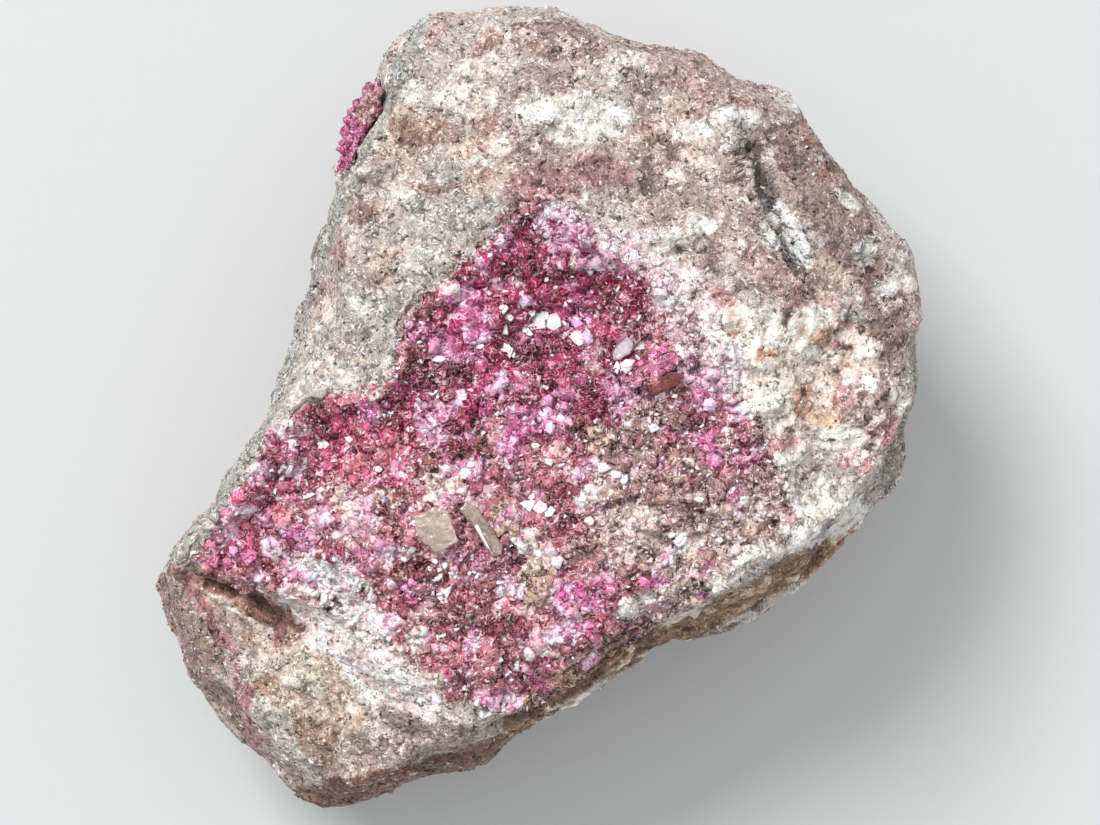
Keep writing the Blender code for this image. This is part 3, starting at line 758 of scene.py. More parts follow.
CRUST_ZONES = (
    # Tan and grey sugar of the right.
    Zone(Mineral((194, 172, 158), (253, 243, 235), (112, 80, 68), 0.34, 0.2, 0.38),
         spots=((690, 540, 98, 46, -10), (725, 512, 64, 34, 0), (660, 600, 44, 16, 20),
             (700, 575, 60, 16, 20)), strength=0.92),
    # Browner sugar left of it.
    Zone(Mineral((158, 122, 112), (226, 202, 194), (98, 60, 54), 0.27, 0.22, 0.38),
         spots=((640, 472, 50, 36, 0), (605, 556, 44, 30, 0), (655, 425, 38, 22, 10), (700, 450, 30, 24, 0),
             (765, 482, 26, 18, 0)), strength=0.92),
    # Rose sugar of the lower middle.
    Zone(Mineral((188, 106, 116), (254, 216, 224), (94, 30, 40), 0.38, 0.38, 0.44),
         spots=((455, 622, 84, 58, -30), (525, 645, 66, 44, 20), (575, 605, 46, 40, 20),
             (410, 540, 40, 60, 0))),
    # Brown sugar of the middle.
    Zone(Mineral((126, 62, 56), (216, 172, 164), (76, 28, 26), 0.22, 0.4, 0.44),
         spots=((450, 455, 44, 20, 10), (590, 435, 26, 14, 0), (385, 500, 26, 24, 0),
             (420, 570, 30, 14, 0)),
         strength=0.95),
    # Magenta of the core.
    Zone(Mineral((166, 28, 86), (255, 198, 228), (84, 2, 30), 0.46, 0.29, 0.56),
         spots=((520, 302, 92, 66, 40), (468, 372, 72, 48, 35), (588, 300, 50, 56, -30),
             (428, 402, 48, 32, 30), (572, 378, 70, 40, 0), (540, 236, 28, 20, 40)), soft=0.35),
    # Darkest magenta on the inner walls: deep magenta with painted shade.
    Zone(Mineral((118, 14, 50), (210, 106, 156), (60, 2, 22), 0.2, 0.36, 0.6),
         spots=((635, 312, 15, 28, -8), (482, 346, 16, 9, 0), (560, 402, 74, 13, 5), (592, 374, 44, 13, 0),
             (430, 372, 24, 20, 30), (542, 272, 30, 13, -30), (602, 300, 26, 18, 0), (450, 442, 28, 14, 0),
             (540, 345, 30, 12, 0), (505, 270, 16, 10, 30)), strength=0.85),
    # Magenta of the left arm.
    Zone(Mineral((204, 72, 120), (255, 202, 224), (104, 12, 42), 0.38, 0.36, 0.5),
         spots=((300, 450, 74, 32, 38), (250, 512, 50, 32, 48), (342, 420, 50, 20, 22),
             (216, 548, 20, 16, 40), (378, 450, 42, 32, 0))),
    # Its far end is brighter.
    Zone(Mineral((228, 104, 148), (255, 216, 232), (130, 26, 62), 0.42, 0.22, 0.5),
         spots=((236, 525, 46, 30, 48),), strength=0.7),
    # Painted shade in the hollows of the left arm.
    Zone(Mineral((120, 26, 50), (192, 100, 136), (60, 8, 22), 0.2, 0.32, 0.5),
         spots=((270, 492, 34, 12, 25), (306, 488, 16, 9, 20), (320, 545, 40, 13, -20),
             (262, 545, 18, 12, 0), (242, 480, 14, 16, 40), (336, 408, 24, 8, 20), (395, 410, 14, 18, 0),
             (470, 566, 26, 8, 0), (412, 605, 14, 26, 0), (573, 494, 32, 12, 0), (500, 625, 26, 12, 0)),
         strength=0.7),
    # Vivid pink crystals.
    Zone(Mineral((208, 98, 156), (248, 196, 228), (146, 34, 92), 0.36, 0.16, 0.72),
         spots=((470, 306, 22, 16, -50), (480, 330, 14, 12, 0), (425, 333, 16, 9, -5), (243, 558, 14, 8, 0),
             (290, 532, 9, 8, 0), (512, 446, 12, 14, 0), (404, 589, 9, 8, 0), (566, 595, 12, 16, 30),
             (703, 399, 9, 9, 0), (712, 450, 10, 14, 0), (656, 579, 14, 8, 0), (652, 365, 16, 10, 30),
             (372, 408, 14, 9, 0), (584, 630, 18, 7, 35), (532, 420, 22, 12, 0)), strength=0.9),
    # Salmon crystals.
    Zone(Mineral((206, 112, 122), (246, 196, 196), (140, 54, 70), 0.3, 0.18, 0.72),
         spots=((357, 461, 17, 8, 5), (391, 446, 18, 12, 15), (352, 400, 28, 6, 20), (475, 596, 14, 9, 10),
             (448, 291, 9, 8, 0), (557, 454, 9, 8, 0), (280, 514, 10, 11, 0), (244, 567, 9, 5, 0),
             (380, 540, 10, 8, 0)), strength=0.9),
    # Pale lilac crystals.
    Zone(Mineral((244, 194, 216), (255, 238, 246), (184, 96, 142), 0.42, 0.16, 0.56),
         spots=((293, 432, 18, 9, 15), (293, 470, 14, 12, 0), (362, 520, 20, 24, -15), (322, 519, 14, 9, 0),
             (388, 627, 13, 11, 0), (541, 228, 8, 18, 25), (600, 262, 16, 10, 0), (495, 708, 52, 12, 12),
             (505, 585, 12, 9, 0), (566, 630, 22, 10, 30), (572, 470, 12, 8, 0), (226, 530, 12, 8, 40),
             (262, 470, 12, 7, 40), (620, 245, 20, 9, -20), (330, 577, 26, 12, -10), (236, 508, 10, 8, 0),
             (272, 548, 12, 8, 0)), strength=0.85),
    # Pale peach crystals.
    Zone(Mineral((236, 208, 196), (254, 242, 232), (182, 130, 118), 0.38, 0.14, 0.46),
         spots=((446, 487, 17, 11, 10), (436, 472, 12, 8, 0), (532, 548, 12, 18, 20), (345, 500, 14, 12, 0),
             (560, 452, 9, 8, 0), (596, 492, 16, 10, 0), (418, 640, 14, 10, 0), (655, 520, 20, 10, 0)),
         strength=0.85),
    # Smoky tan crystals.
    Zone(Mineral((178, 148, 126), (224, 204, 186), (118, 86, 70), 0.3, 0.2, 0.44),
         spots=((536, 577, 20, 22, 30), (505, 520, 14, 14, 0), (598, 440, 12, 12, 0),
             (676, 470, 14, 10, 0)),
         strength=0.8),
)


# What is mottled over the rock: the mineral, its patches' size and seed, and at which level and
# how softly they start.
ROCK_MOTTLE = (
    (RED_ROCK, 9.0, 21, 0.05, 0.25),
    (TAN_ROCK, 4.0, 25, 0.1, 0.2),
    (PALE_ROCK, 5.0, 22, 0.2, 0.2),
    (RED_ROCK, 2.2, 23, 0.2, 0.2),
    (PINK_STAIN, 7.0, 24, 0.42, 0.3),
)

# What is mottled over the crust's zones.
CRUST_MOTTLE = (
    (Mineral((104, 32, 52), (190, 116, 146), (62, 12, 28), 0.2, 0.3, 0.42), 2.2, 91, 0.08, 0.16),
    (Mineral((140, 86, 76), (216, 178, 164), (86, 42, 36), 0.24, 0.2, 0.4), 2.4, 92, 0.32, 0.12),
    (Mineral((222, 150, 192), (254, 226, 242), (156, 66, 116), 0.4, 0.12, 0.5), 2.3, 93, 0.26, 0.12),
    (Mineral((204, 174, 162), (248, 234, 226), (134, 94, 86), 0.36, 0.14, 0.4), 1.7, 94, 0.38, 0.12),
    (Mineral((176, 62, 120), (236, 150, 200), (110, 22, 66), 0.26, 0.2, 0.5), 2.0, 95, 0.34, 0.12),
)


@dataclass(frozen=True)
class FacePainter:
    """Lays the zones' minerals on points of the specimen."""

    base: Mineral  # What lies under the zones.
    zones: tuple[Zone, ...]  # The zones, in the order in which they are laid.
    # What is mottled over the base before the zones.
    under: tuple[tuple[Mineral, float, int, float, float], ...] = ()
    over: tuple[tuple[Mineral, float, int, float, float], ...] = ()  # What is mottled over the zones.
    last: tuple[Zone, ...] = ()  # The zones that are laid over that.
    # How far, in pixels, the zones' edges wander at the coarse and the fine scale.
    wander: tuple[float, float] = (9.0, 5.0)

    def paint(self, points: Numbers, normals: Numbers) -> Paint:
        """Works out the minerals at points of a surface.

        Args:
            points: Places in millimetres.
            normals: The directions in which the surface looks there.

        Returns:
            The paint of each point.
        """
        paint = Paint(np.tile(self.base.row(), (len(points), 1)))
        self._mottle(paint, points, self.under, 0.85)
        across, down = VIEW.pixels(points)
        coarse, fine = self.wander
        aside, below = (
            coarse * SmoothField(2.6, 2, seed).at(points) + fine * SmoothField(0.8, 2, seed + 1).at(points)
            for seed in (11, 13)
        )
        faces_up = smooth_step((normals[:, 2] + 0.22 + 0.3 * SmoothField(3.0, 4, 17).at(points)) / 0.4)
        for number, zone in enumerate(self.zones + self.last):
            if number == len(self.zones):
                self._mottle(paint, points, self.over, 0.6)
            cover = zone.cover(across + zone.loose * aside, down + zone.loose * below) / zone.strength
            here = np.flatnonzero(cover)
            ragged = 0.4 * zone.loose * SmoothField(0.9, 3, 200 + number).at(points[here])
            cover = smooth_step(2 * (cover[here] - 0.25 + ragged)) * faces_up[here]
            paint.lay(zone.mineral, zone.strength * cover, here)
        return paint

    @staticmethod
    def _mottle(paint: Paint, points: Numbers, rows: Sequence[tuple], strength: float) -> None:
        """Lays patches of other minerals over what is there.

        Args:
            paint: What is there.
            points: Its places in millimetres.
            rows: The patches, as in the tables above.
            strength: How fully they cover it.
        """
        for mineral, size, seed, level, spread in rows:
            value = SmoothField(size, 3, seed).at(points)
            paint.lay(mineral, strength * smooth_step((value - level) / spread))


RHOMB_STRETCH = 1.22


class Form(Enum):
    """The crystal and grain forms, each by its corners before they are sized."""

    RHOMB = "rhomb"
    PLATE = "plate"
    CHIP = "chip"

    def corners(self) -> Numbers:
        """The corners of the form, about one millimetre across.

        Returns:
            One row for each corner.
        """
        if self is Form.CHIP:
            return 0.42 * np.array([(1, 1, 1), (1, -1, -1), (-1, 1, -1), (-1, -1, 1)])
        box = np.array([(x, y, z) for z in (-0.5, 0.5) for y in (-0.5, 0.5) for x in (-0.5, 0.5)])
        diagonal = unit(np.ones(3))
        stretched = box + (RHOMB_STRETCH - 1) * (box @ diagonal)[:, None] * diagonal
        return stretched * np.array([1, 1, 0.34 if self is Form.PLATE else 1.0])

    def faces(self) -> Numbers:
        """The form's triangles, by corner, wound to face outwards.

        Returns:
            One row for each triangle.
        """
        if self is Form.CHIP:
            return np.array([(0, 1, 2), (0, 3, 1), (0, 2, 3), (1, 3, 2)])
        quads = ((0, 2, 3, 1), (4, 5, 7, 6), (0, 1, 5, 4), (2, 6, 7, 3), (0, 4, 6, 2), (1, 3, 7, 5))
        return np.array([t for a, b, c, d in quads for t in ((a, b, c), (a, c, d))])


@dataclass
class FineMesh:
    """A triangle mesh in millimetres that can be refined, smoothed and given relief."""

    points: Numbers  # The vertices.
    faces: Numbers  # The triangles, by vertex.
    tints: Numbers | None = None  # The vertices' linear colours, on a mesh that has them.

    @classmethod
    def of_node(cls, node: str) -> "FineMesh":
        """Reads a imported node's mesh, with vertices that share a place made one.

        Args:
            node: The node's name.

        Returns:
            Its mesh.
        """
        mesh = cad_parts[node].data
        mesh.calc_loop_triangles()
        points = np.empty(len(mesh.vertices) * 3, np.float32)
        mesh.vertices.foreach_get("co", points)
        faces = np.empty(len(mesh.loop_triangles) * 3, np.int32)
        mesh.loop_triangles.foreach_get("vertices", faces)
        places, index = np.unique(np.round(points.reshape(-1, 3) / MM, 3), axis=0, return_inverse=True)
        faces = index.reshape(-1)[faces].reshape(-1, 3).astype(np.int64)
        whole = np.all(faces != np.roll(faces, 1, axis=1), axis=1)
        return cls(places.astype(float), faces[whole])

    @property
    def centres(self) -> Numbers:
        """The triangles' middles."""
        return self.points[self.faces].mean(axis=1)

    def refine(self, longest: Callable[[Numbers], Numbers | float], rounds: int = 9) -> None:
        """Halves every edge that is too long, until none is.

        Args:
            longest: Gives the longest that an edge may be at each of many points.
            rounds: How many times the edges may be halved.
        """
        for _ in range(rounds):
            pairs = self.faces[:, [0, 1, 1, 2, 2, 0]].reshape(-1, 2)
            edges, owner = np.unique(np.sort(pairs, axis=1), axis=0, return_inverse=True)
            ends = self.points[edges]
            middle = ends.mean(axis=1)
            split = np.linalg.norm(ends[:, 0] - ends[:, 1], axis=1) > longest(middle)
            if not split.any():
                return
            made = np.full(len(edges), -1)
            made[split] = len(self.points) + np.arange(split.sum())
            self.points = np.concatenate([self.points, middle[split]])
            middles = made[owner.reshape(-1)].reshape(-1, 3)
            cut = middles >= 0
            count = cut.sum(axis=1)
            lead = np.where(count == 1, cut.argmax(axis=1), 0)
            lead = np.where(count == 2, ((~cut).argmax(axis=1) + 1) % 3, lead)
            order = (lead[:, None] + np.arange(3)) % 3
            a, b, c = np.take_along_axis(self.faces, order, axis=1).T
            p, q, r = np.take_along_axis(middles, order, axis=1).T
            new = [self.faces[count == 0]]
            for number, triangles in enumerate((
                ((a, p, c), (p, b, c)),
                ((p, b, q), (a, p, q), (a, q, c)),
                ((a, p, r), (p, b, q), (r, q, c), (p, q, r)),
            ), 1):
                new += [np.stack(triangle, axis=1)[count == number] for triangle in triangles]
            self.faces = np.concatenate(new)

    def relax(self, rounds: int, strength: float = 0.6) -> None:
        """Smooths the mesh by moving each vertex towards the middle of its neighbours.

        Args:
            rounds: How many times.
            strength: The share of the way that it moves each time.
        """
        tails = self.faces[:, [0, 1, 2, 1, 2, 0]].reshape(-1)
        heads = self.faces[:, [1, 2, 0, 0, 1, 2]].reshape(-1)
        count = len(self.points)
        number = np.maximum(np.bincount(tails, minlength=count), 1)[:, None]
        for _ in range(rounds):
            sums = [np.bincount(tails, self.points[heads, k], count) for k in range(3)]
            self.points += strength * (np.stack(sums, axis=1) / number - self.points)

    def face_normals(self) -> Numbers:
        """The triangles' normals, as long as twice their areas."""
        a, b, c = (self.points[self.faces[:, k]] for k in range(3))
        return np.cross(b - a, c - a)

    def normals(self) -> Numbers:
        """The vertices' normals.

        Returns:
            One unit vector for each vertex.
        """
        faces = self.face_normals()
        total = np.zeros_like(self.points)
        for corner, axis in np.ndindex(3, 3):
            total[:, axis] += np.bincount(self.faces[:, corner], faces[:, axis], len(self.points))
        return unit(total)

    def samples(self, count: int, weight: Numbers, rng: Dice) -> tuple[Numbers, Numbers]:
        """Scatters points over the surface.

        Args:
            count: How many.
            weight: How many points each triangle gets for its area, against the others.
            rng: The random numbers to use.

        Returns:
            The points and the surface's normals there.
        """
        share = np.linalg.norm(self.face_normals(), axis=1) * weight
        chosen = rng.choice(len(self.faces), count, p=share / share.sum())
        u, v = rng.random(count), rng.random(count)
        fold = u + v > 1
        u, v = np.where(fold, 1 - u, u), np.where(fold, 1 - v, v)
        a, b, c = (self.points[self.faces[chosen, k]] for k in range(3))
        smooth = self.normals()
        normals = sum(smooth[self.faces[chosen, k]] for k in range(3))
        return a + u[:, None] * (b - a) + v[:, None] * (c - a), unit(normals)

    def tree(self) -> BVHTree:
        """The mesh as something to cast rays at."""
        return BVHTree.FromPolygons(self.points.tolist(), self.faces.tolist())

    def to_object(self, name: str) -> bpy.types.Object:
        """Makes the Blender object, in metres, with flat faces and its tints stored on it.

        Args:
            name: The piece's name.

        Returns:
            The object, linked to the scene.
        """
        mesh = bpy.data.meshes.new(name)
        mesh.vertices.add(len(self.points))
        mesh.vertices.foreach_set("co", (self.points * MM).astype(np.float32).ravel())
        mesh.loops.add(self.faces.size)
        mesh.loops.foreach_set("vertex_index", self.faces.astype(np.int32).ravel())
        mesh.polygons.add(len(self.faces))
        mesh.polygons.foreach_set("loop_start", np.arange(0, self.faces.size, 3, dtype=np.int32))
        mesh.update(calc_edges=True)
        if self.tints is not None:
            store = mesh.attributes.new("tint", "FLOAT_COLOR", "POINT")
            full = np.column_stack([np.clip(self.tints, 0, 1), np.ones(len(self.tints))])
            store.data.foreach_set("color", full.astype(np.float32).ravel())
        made = bpy.data.objects.new(name, mesh)
        bpy.context.scene.collection.objects.link(made)
        return made


def join(meshes: Sequence[FineMesh]) -> FineMesh:
    """Joins meshes into one.

    Args:
        meshes: The meshes, in order, all with tints or all without.

    Returns:
        One mesh that holds them all.
    """
    starts = np.cumsum([0] + [len(mesh.points) for mesh in meshes[:-1]])
    faces = [mesh.faces + start for mesh, start in zip(meshes, starts)]
    tints = None if meshes[0].tints is None else np.concatenate([mesh.tints for mesh in meshes])
    return FineMesh(np.concatenate([mesh.points for mesh in meshes]), np.concatenate(faces), tints)


def standing(normals: Numbers, lean: float, rng: Dice) -> Numbers:
    """Turns that stand a form's Z axis roughly along a normal.

    Args:
        normals: The normals.
        lean: How far, in degrees, the forms lean at most.
        rng: The random numbers to use.

    Returns:
        A rotation matrix for each normal.
    """
    wild = unit(rng.normal(size=normals.shape))
    up = unit(normals + math.tan(math.radians(lean)) * wild * rng.random((len(normals), 1)))
    side = unit(np.cross(up, rng.normal(size=normals.shape)))
    return np.stack([side, np.cross(up, side), up], axis=-1)


def clumped(places: Numbers, rng: Dice) -> Numbers:
    """Random numbers for grains, alike where the grains lie close together.

    Args:
        places: Where the grains lie.
        rng: The random numbers to use.

    Returns:
        Three numbers from 0 to 1 for each; the first is the one that is alike.
    """
    dice = rng.random((len(places), 3))
    near = 0.95 * SmoothField(1.3, 3, 64).at(places)
    dice[:, 0] = np.clip(0.5 + near + 0.3 * (dice[:, 0] - 0.5), 0, 1)
    return dice


@dataclass(frozen=True)
class Swarm:
    """Many crystals of one form, grown as one mesh."""

    form: Form  # Their form.
    uneven: float = 0.08  # How far their corners stray, as a share of their size.
    pale_tips_shaded_roots: float = 0.25  # How much lighter a crystal is at its outer end than at its root: pale tips, and painted shade at the root.
    lean: float = 60.0  # How far, in degrees, they lean at most.
    drift: float = 0.14  # How much crystals of one kind differ in lightness.
    swell: float = 1.0  # Their size against the mineral's grain.
    spread: tuple[float, float] = (0.5, 1.5)  # Their smallest and largest, against that.
    shape: tuple[float, float] = (0.7, 1.3)  # How far their three sizes differ, as the least and the most.
    largest: float = 9.0  # The largest grain in millimetres that they follow.
    sink: float = 0.2  # The share of one of their sizes by which they stand in the surface.
    sunk: int = 2  # Which of the sizes that is.

    def stand(
        self, places: Numbers, normals: Numbers, paint: Paint, rng: Dice, flat: Numbers | float = 1.0
    ) -> FineMesh:
        """Grows crystals on a surface, with sizes and colours that suit its paint.

        Args:
            places: Places on the surface.
            normals: The surface's normals there.
            paint: Its paint there.
            rng: The random numbers to use.
            flat: What the crystals' heights are multiplied by.

        Returns:
            Their mesh, with its tints.
        """
        count = len(places)
        sizes = np.minimum(paint.grain, self.largest)[:, None] * self.swell
        sizes = sizes * rng.uniform(*self.spread, (count, 1)) * rng.uniform(*self.shape, (count, 3))
        sizes[:, 2] *= flat
        places = places - self.sink * sizes[:, self.sunk, None] * normals
        colours = paint.picked(clumped(places, rng), self.drift)
        return self.grow(places, standing(normals, self.lean, rng), sizes, colours, rng)

    def grow(
        self, places: Numbers, turns: Numbers, sizes: Numbers, colours: Numbers | None, rng: Dice
    ) -> FineMesh:
        """Makes the crystals.

        Args:
            places: Their middles.
            turns: Their rotation matrices.
            sizes: Their sizes along their own three axes.
            colours: Their linear colours, if they are to have tints.
            rng: The random numbers to use.

        Returns:
            Their mesh.
        """
        corners = self.form.corners()
        stray = self.uneven * rng.uniform(-1, 1, (len(places), *corners.shape))
        own = (corners + stray) * sizes[:, None, :]
        points = np.einsum("nij,nkj->nki", turns, own) + places[:, None, :]
        starts = len(corners) * np.arange(len(places))
        faces = self.form.faces()[None] + starts[:, None, None]
        mesh = FineMesh(points.reshape(-1, 3), faces.reshape(-1, 3))
        if colours is not None:
            # Lighter towards the tip and darker towards the root: pale tips, and painted shade at the root.
            height = np.einsum("nki,ni->nk", points - places[:, None, :], turns[:, :, 2])
            height = height / np.maximum(np.abs(height).max(axis=1, keepdims=True), 1e-9)
            tints = colours[:, None, :] * (1 + self.pale_tips_shaded_roots * height[:, :, None])
            mesh.tints = np.clip(tints.reshape(-1, 3), 0, 1)
        return mesh


class NodeDesk:
    """Builds one material's node tree."""

    def __init__(self, name: str) -> None:
        """Makes the material with its one shader.

        Args:
            name: The material's name.
        """
        self.material = bpy.data.materials.new(name)
        self.material.use_nodes = True
        self.tree = self.material.node_tree
        self.shader = self.tree.nodes["Principled BSDF"]

    def node(self, kind: str, inputs: dict | None = None, **settings: object) -> bpy.types.Node:
        """Adds a node.

        Args:
            kind: The node's type, without its ShaderNode prefix.
            inputs: For each input, a number or colour, or the output that feeds it.
            settings: The node's own settings.

        Returns:
            The node.
        """
        made = self.tree.nodes.new("ShaderNode" + kind)
        for key, value in settings.items():
            setattr(made, key, value)
        for key, value in (inputs or {}).items():
            self.feed(made.inputs[key], value)
        return made

    def feed(self, socket: bpy.types.NodeSocket, value: object) -> None:
        """Links an output to a socket, or sets the socket's own value.

        Args:
            socket: The socket.
            value: The output, or the number, colour or vector.
        """
        if isinstance(value, bpy.types.NodeSocket):
            self.tree.links.new(value, socket)
        else:
            socket.default_value = value

    def maths(self, operation: str, first: object, second: object = 0.0) -> Socket:
        """The result of a Math node."""
        return self.node("Math", {0: first, 1: second}, operation=operation).outputs[0]

    def times(self, first: object, second: object) -> Socket:
        """The product of two numbers."""
        return self.maths("MULTIPLY", first, second)

    def vector(self, operation: str, first: object, second: object = (0, 0, 0)) -> Socket:
        """The result of a Vector Math node."""
        return self.node("VectorMath", {0: first, 1: second}, operation=operation).outputs[0]

    def scaled(self, vector: object, factor: object) -> Socket:
        """A vector or colour times a number."""
        return self.node("VectorMath", {0: vector, "Scale": factor}, operation="SCALE").outputs[0]

    def ranged(
        self, value: object, low: float, high: float, start: float = 0.0, end: float = 1.0
    ) -> Socket:
        """A value from start to end, spread from low to high."""
        inputs = {"Value": value, "From Min": start, "From Max": end, "To Min": low, "To Max": high}
        return self.node("MapRange", inputs).outputs[0]

    def blended(self, share: object, first: object, second: object) -> Socket:
        """A mix of two colours."""
        inputs = {0: share, 6: first, 7: second}
        return self.node("Mix", inputs, data_type="RGBA", clamp_result=True).outputs[2]

    def places(self) -> Socket:
        """The place on the object, in millimetres."""
        return self.scaled(self.node("TexCoord").outputs["Object"], 1 / MM)

    def clouds(self, places: object, size: float, detail: float = 3.0, twist: float = 0.0) -> Socket:
        """Soft noise of a size in millimetres, with its shapes twisted if asked."""
        inputs = {"Vector": places, "Scale": 1 / size, "Detail": detail, "Distortion": twist}
        return self.node("TexNoise", inputs).outputs["Fac"]

    def bumped(self, height: object, depth: float, strength: float, normal: object) -> Socket:
        """A normal with fine relief whose depth is in millimetres."""
        inputs = {"Height": height, "Distance": depth * MM, "Strength": strength, "Normal": normal}
        return self.node("Bump", inputs).outputs[0]

    def finish(self, **sockets: object) -> bpy.types.Material:
        """Feeds the shader's sockets.

        Args:
            sockets: For each socket, named with _ for a space, a value or an output.

        Returns:
            The material.
        """
        for key, value in sockets.items():
            self.feed(self.shader.inputs[key.replace("_", " ")], value)
        return self.material


class Finish:
    """What a piece is made of."""

    def sockets(self, desk: NodeDesk) -> dict[str, object]:
        """What feeds each of the shader's sockets, named with _ for a space."""
        raise NotImplementedError

    def material(self, name: str) -> bpy.types.Material:
        """Makes the material, under a name."""
        desk = NodeDesk(name)
        return desk.finish(**self.sockets(desk))


@dataclass(frozen=True)
class MineralFinish(Finish):
    """Sugary mineral: thin bright curls of painted highlight and dark clefts of painted shade over the
    colour stored on the piece.
    """

    curl: float = 0.5  # The large curls' size in millimetres.
    depth: float = 0.09  # The fine relief's depth in millimetres.
    pale: Colour = (252, 249, 244)  # The colour of the curls' painted highlight as seen.
    curl_highlight: float = 0.9  # How far the curls turn pale, as a painted highlight.
    cleft_shade: float = 0.75  # How far the clefts turn dark, as painted shade.
    deep: float = 0.12  # How dark the clefts' painted shade is, as a share of the stored colour, in a black mineral.
    own: float = 0.62  # How much lighter that shade is in a white one.
    glossy: float = 0.25  # The roughness of the glossiest flakes.
    dull: float = 0.7  # The roughness of the dullest.
    lean: float = 0.2  # How far the flakes' faces lean.
    # How much brighter the mineral is than the stored colour, that of its relief as seen.
    gain: float = 1.0
    glow: float = 0.15  # The share of light that spreads under the surface.
    spread: float = 0.3  # How far it spreads, in millimetres.
    shine: float = 0.25  # The strength of its reflections.
    highlight_tint: float = 0.36  # How much of its own colour the painted highlight of a pale mineral's curls keeps.
    highlight_tint_more: float = 0.35  # How much more that of a dark mineral keeps.
    dim: float = 0.4  # How bright the curls of a dark mineral are, against those of a pale one.
    speck: float = 0.2  # How much the flakes differ in lightness.
    flake: float = 0.34  # The flakes' size in millimetres.
    clear: float = 0.0  # The share of light that passes through.

    def sockets(self, desk: NodeDesk) -> dict[str, object]:
        """Builds the curls with their painted highlight, the clefts with their painted shade, the flakes
        and the relief.

        Args:
            desk: What the nodes are built with.

        Returns:
            What feeds the shader's sockets.
        """
        places = desk.places()
        tint = desk.node("Attribute", attribute_name="tint").outputs["Color"]
        winding = desk.clouds(places, self.curl, 0.6, 1.1)
        gate = desk.clouds(places, 1.4 * self.curl, 1.0, 0.6)
        curl = desk.times(self._line(desk, winding, 0.52, 0.05), desk.ranged(gate, 0, 1, 0.43, 0.52))
        small = self._line(desk, desk.clouds(places, 0.5 * self.curl, 0.0, 1.6), 0.5, 0.055)
        curl = desk.maths("MAXIMUM", curl, desk.times(small, desk.ranged(gate, 0.85, 0.2, 0.4, 0.6)))
        # Where the winding noise is low lie the clefts, darkened below as painted shade.
        cleft_shade_share = desk.ranged(winding, 1, 0, 0.36, 0.44)
        flakes = desk.node("TexVoronoi", {"Vector": places, "Scale": 1 / self.flake}).outputs["Color"]
        dice = desk.node("SeparateColor", {0: flakes}).outputs
        uneven = 0.9 * self.speck
        patch = desk.clouds(places, 0.9, 3.0)
        patch = desk.ranged(patch, (1 - uneven) * self.gain, (1 + uneven) * self.gain, 0.34, 0.66)
        patch = desk.times(patch, desk.ranged(dice[1], 1 - self.speck, 1 + self.speck))
        colour = desk.scaled(tint, patch)
        shade = desk.vector("ADD", desk.scaled(tint, self.own), (self.deep,) * 3)
        shaded = desk.vector("MULTIPLY", colour, shade)
        colour = desk.blended(desk.times(cleft_shade_share, self.cleft_shade), colour, shaded)
        # The curls are painted pale as a highlight that keeps some of the mineral's own colour.
        grey = desk.node("RGBToBW", {0: tint}).outputs[0]
        bright = desk.ranged(grey, self.dim, 1, 0.03, 0.32)
        own = desk.ranged(grey, self.highlight_tint + self.highlight_tint_more, self.highlight_tint, 0.03, 0.32)
        curl_highlight_colour = desk.scaled(desk.blended(own, (*linear(self.pale), 1), desk.scaled(tint, 1.8)), bright)
        colour = desk.blended(desk.times(curl, self.curl_highlight), colour, curl_highlight_colour)
        relief = desk.maths("ADD", curl, desk.times(winding, 2.5))
        away = desk.scaled(desk.vector("SUBTRACT", flakes, (0.5, 0.5, 0.5)), self.lean)
        normal = desk.vector("ADD", desk.node("NewGeometry").outputs["Normal"], away)
        normal = desk.bumped(relief, self.depth, 0.8, desk.vector("NORMALIZE", normal))
        return {
            "Base_Color": colour,
            "Roughness": desk.ranged(dice[0], self.glossy, self.dull),
            "Normal": normal,
            "IOR": 1.6,
            "Specular_IOR_Level": self.shine,
            "Subsurface_Weight": self.glow,
            "Subsurface_Radius": (1.0, 0.85, 0.85),
            "Subsurface_Scale": self.spread * MM,
            "Transmission_Weight": self.clear,
        }

    @staticmethod
    def _line(desk: NodeDesk, value: object, level: float, width: float) -> Socket:
        """1 where a value is at a level, falling to 0 over a width on each side."""
        away = desk.maths("ABSOLUTE", desk.maths("SUBTRACT", value, level))
        return desk.ranged(away, 1, 0, 0.5 * width, 1.15 * width)


CRYSTAL_FINISH = MineralFinish(
    curl=0.66, depth=0.13, pale=(255, 236, 242), curl_highlight=0.95, cleft_shade=0.95, deep=0.06, own=0.45, glossy=0.2,
    dull=0.6, lean=0.28, gain=1.08, glow=0.06, spread=0.3, shine=0.16, highlight_tint=0.16, dim=0.92,
)

SMOKY_FINISH = MineralFinish(
    curl=0.7, depth=0.03, pale=(250, 238, 232), curl_highlight=0.4, cleft_shade=0.15, deep=0.3, own=0.6, glossy=0.06,
    dull=0.22, lean=0.06, glow=0.5, spread=1.0, shine=0.7, highlight_tint=0.3, speck=0.12, clear=0.35,
)


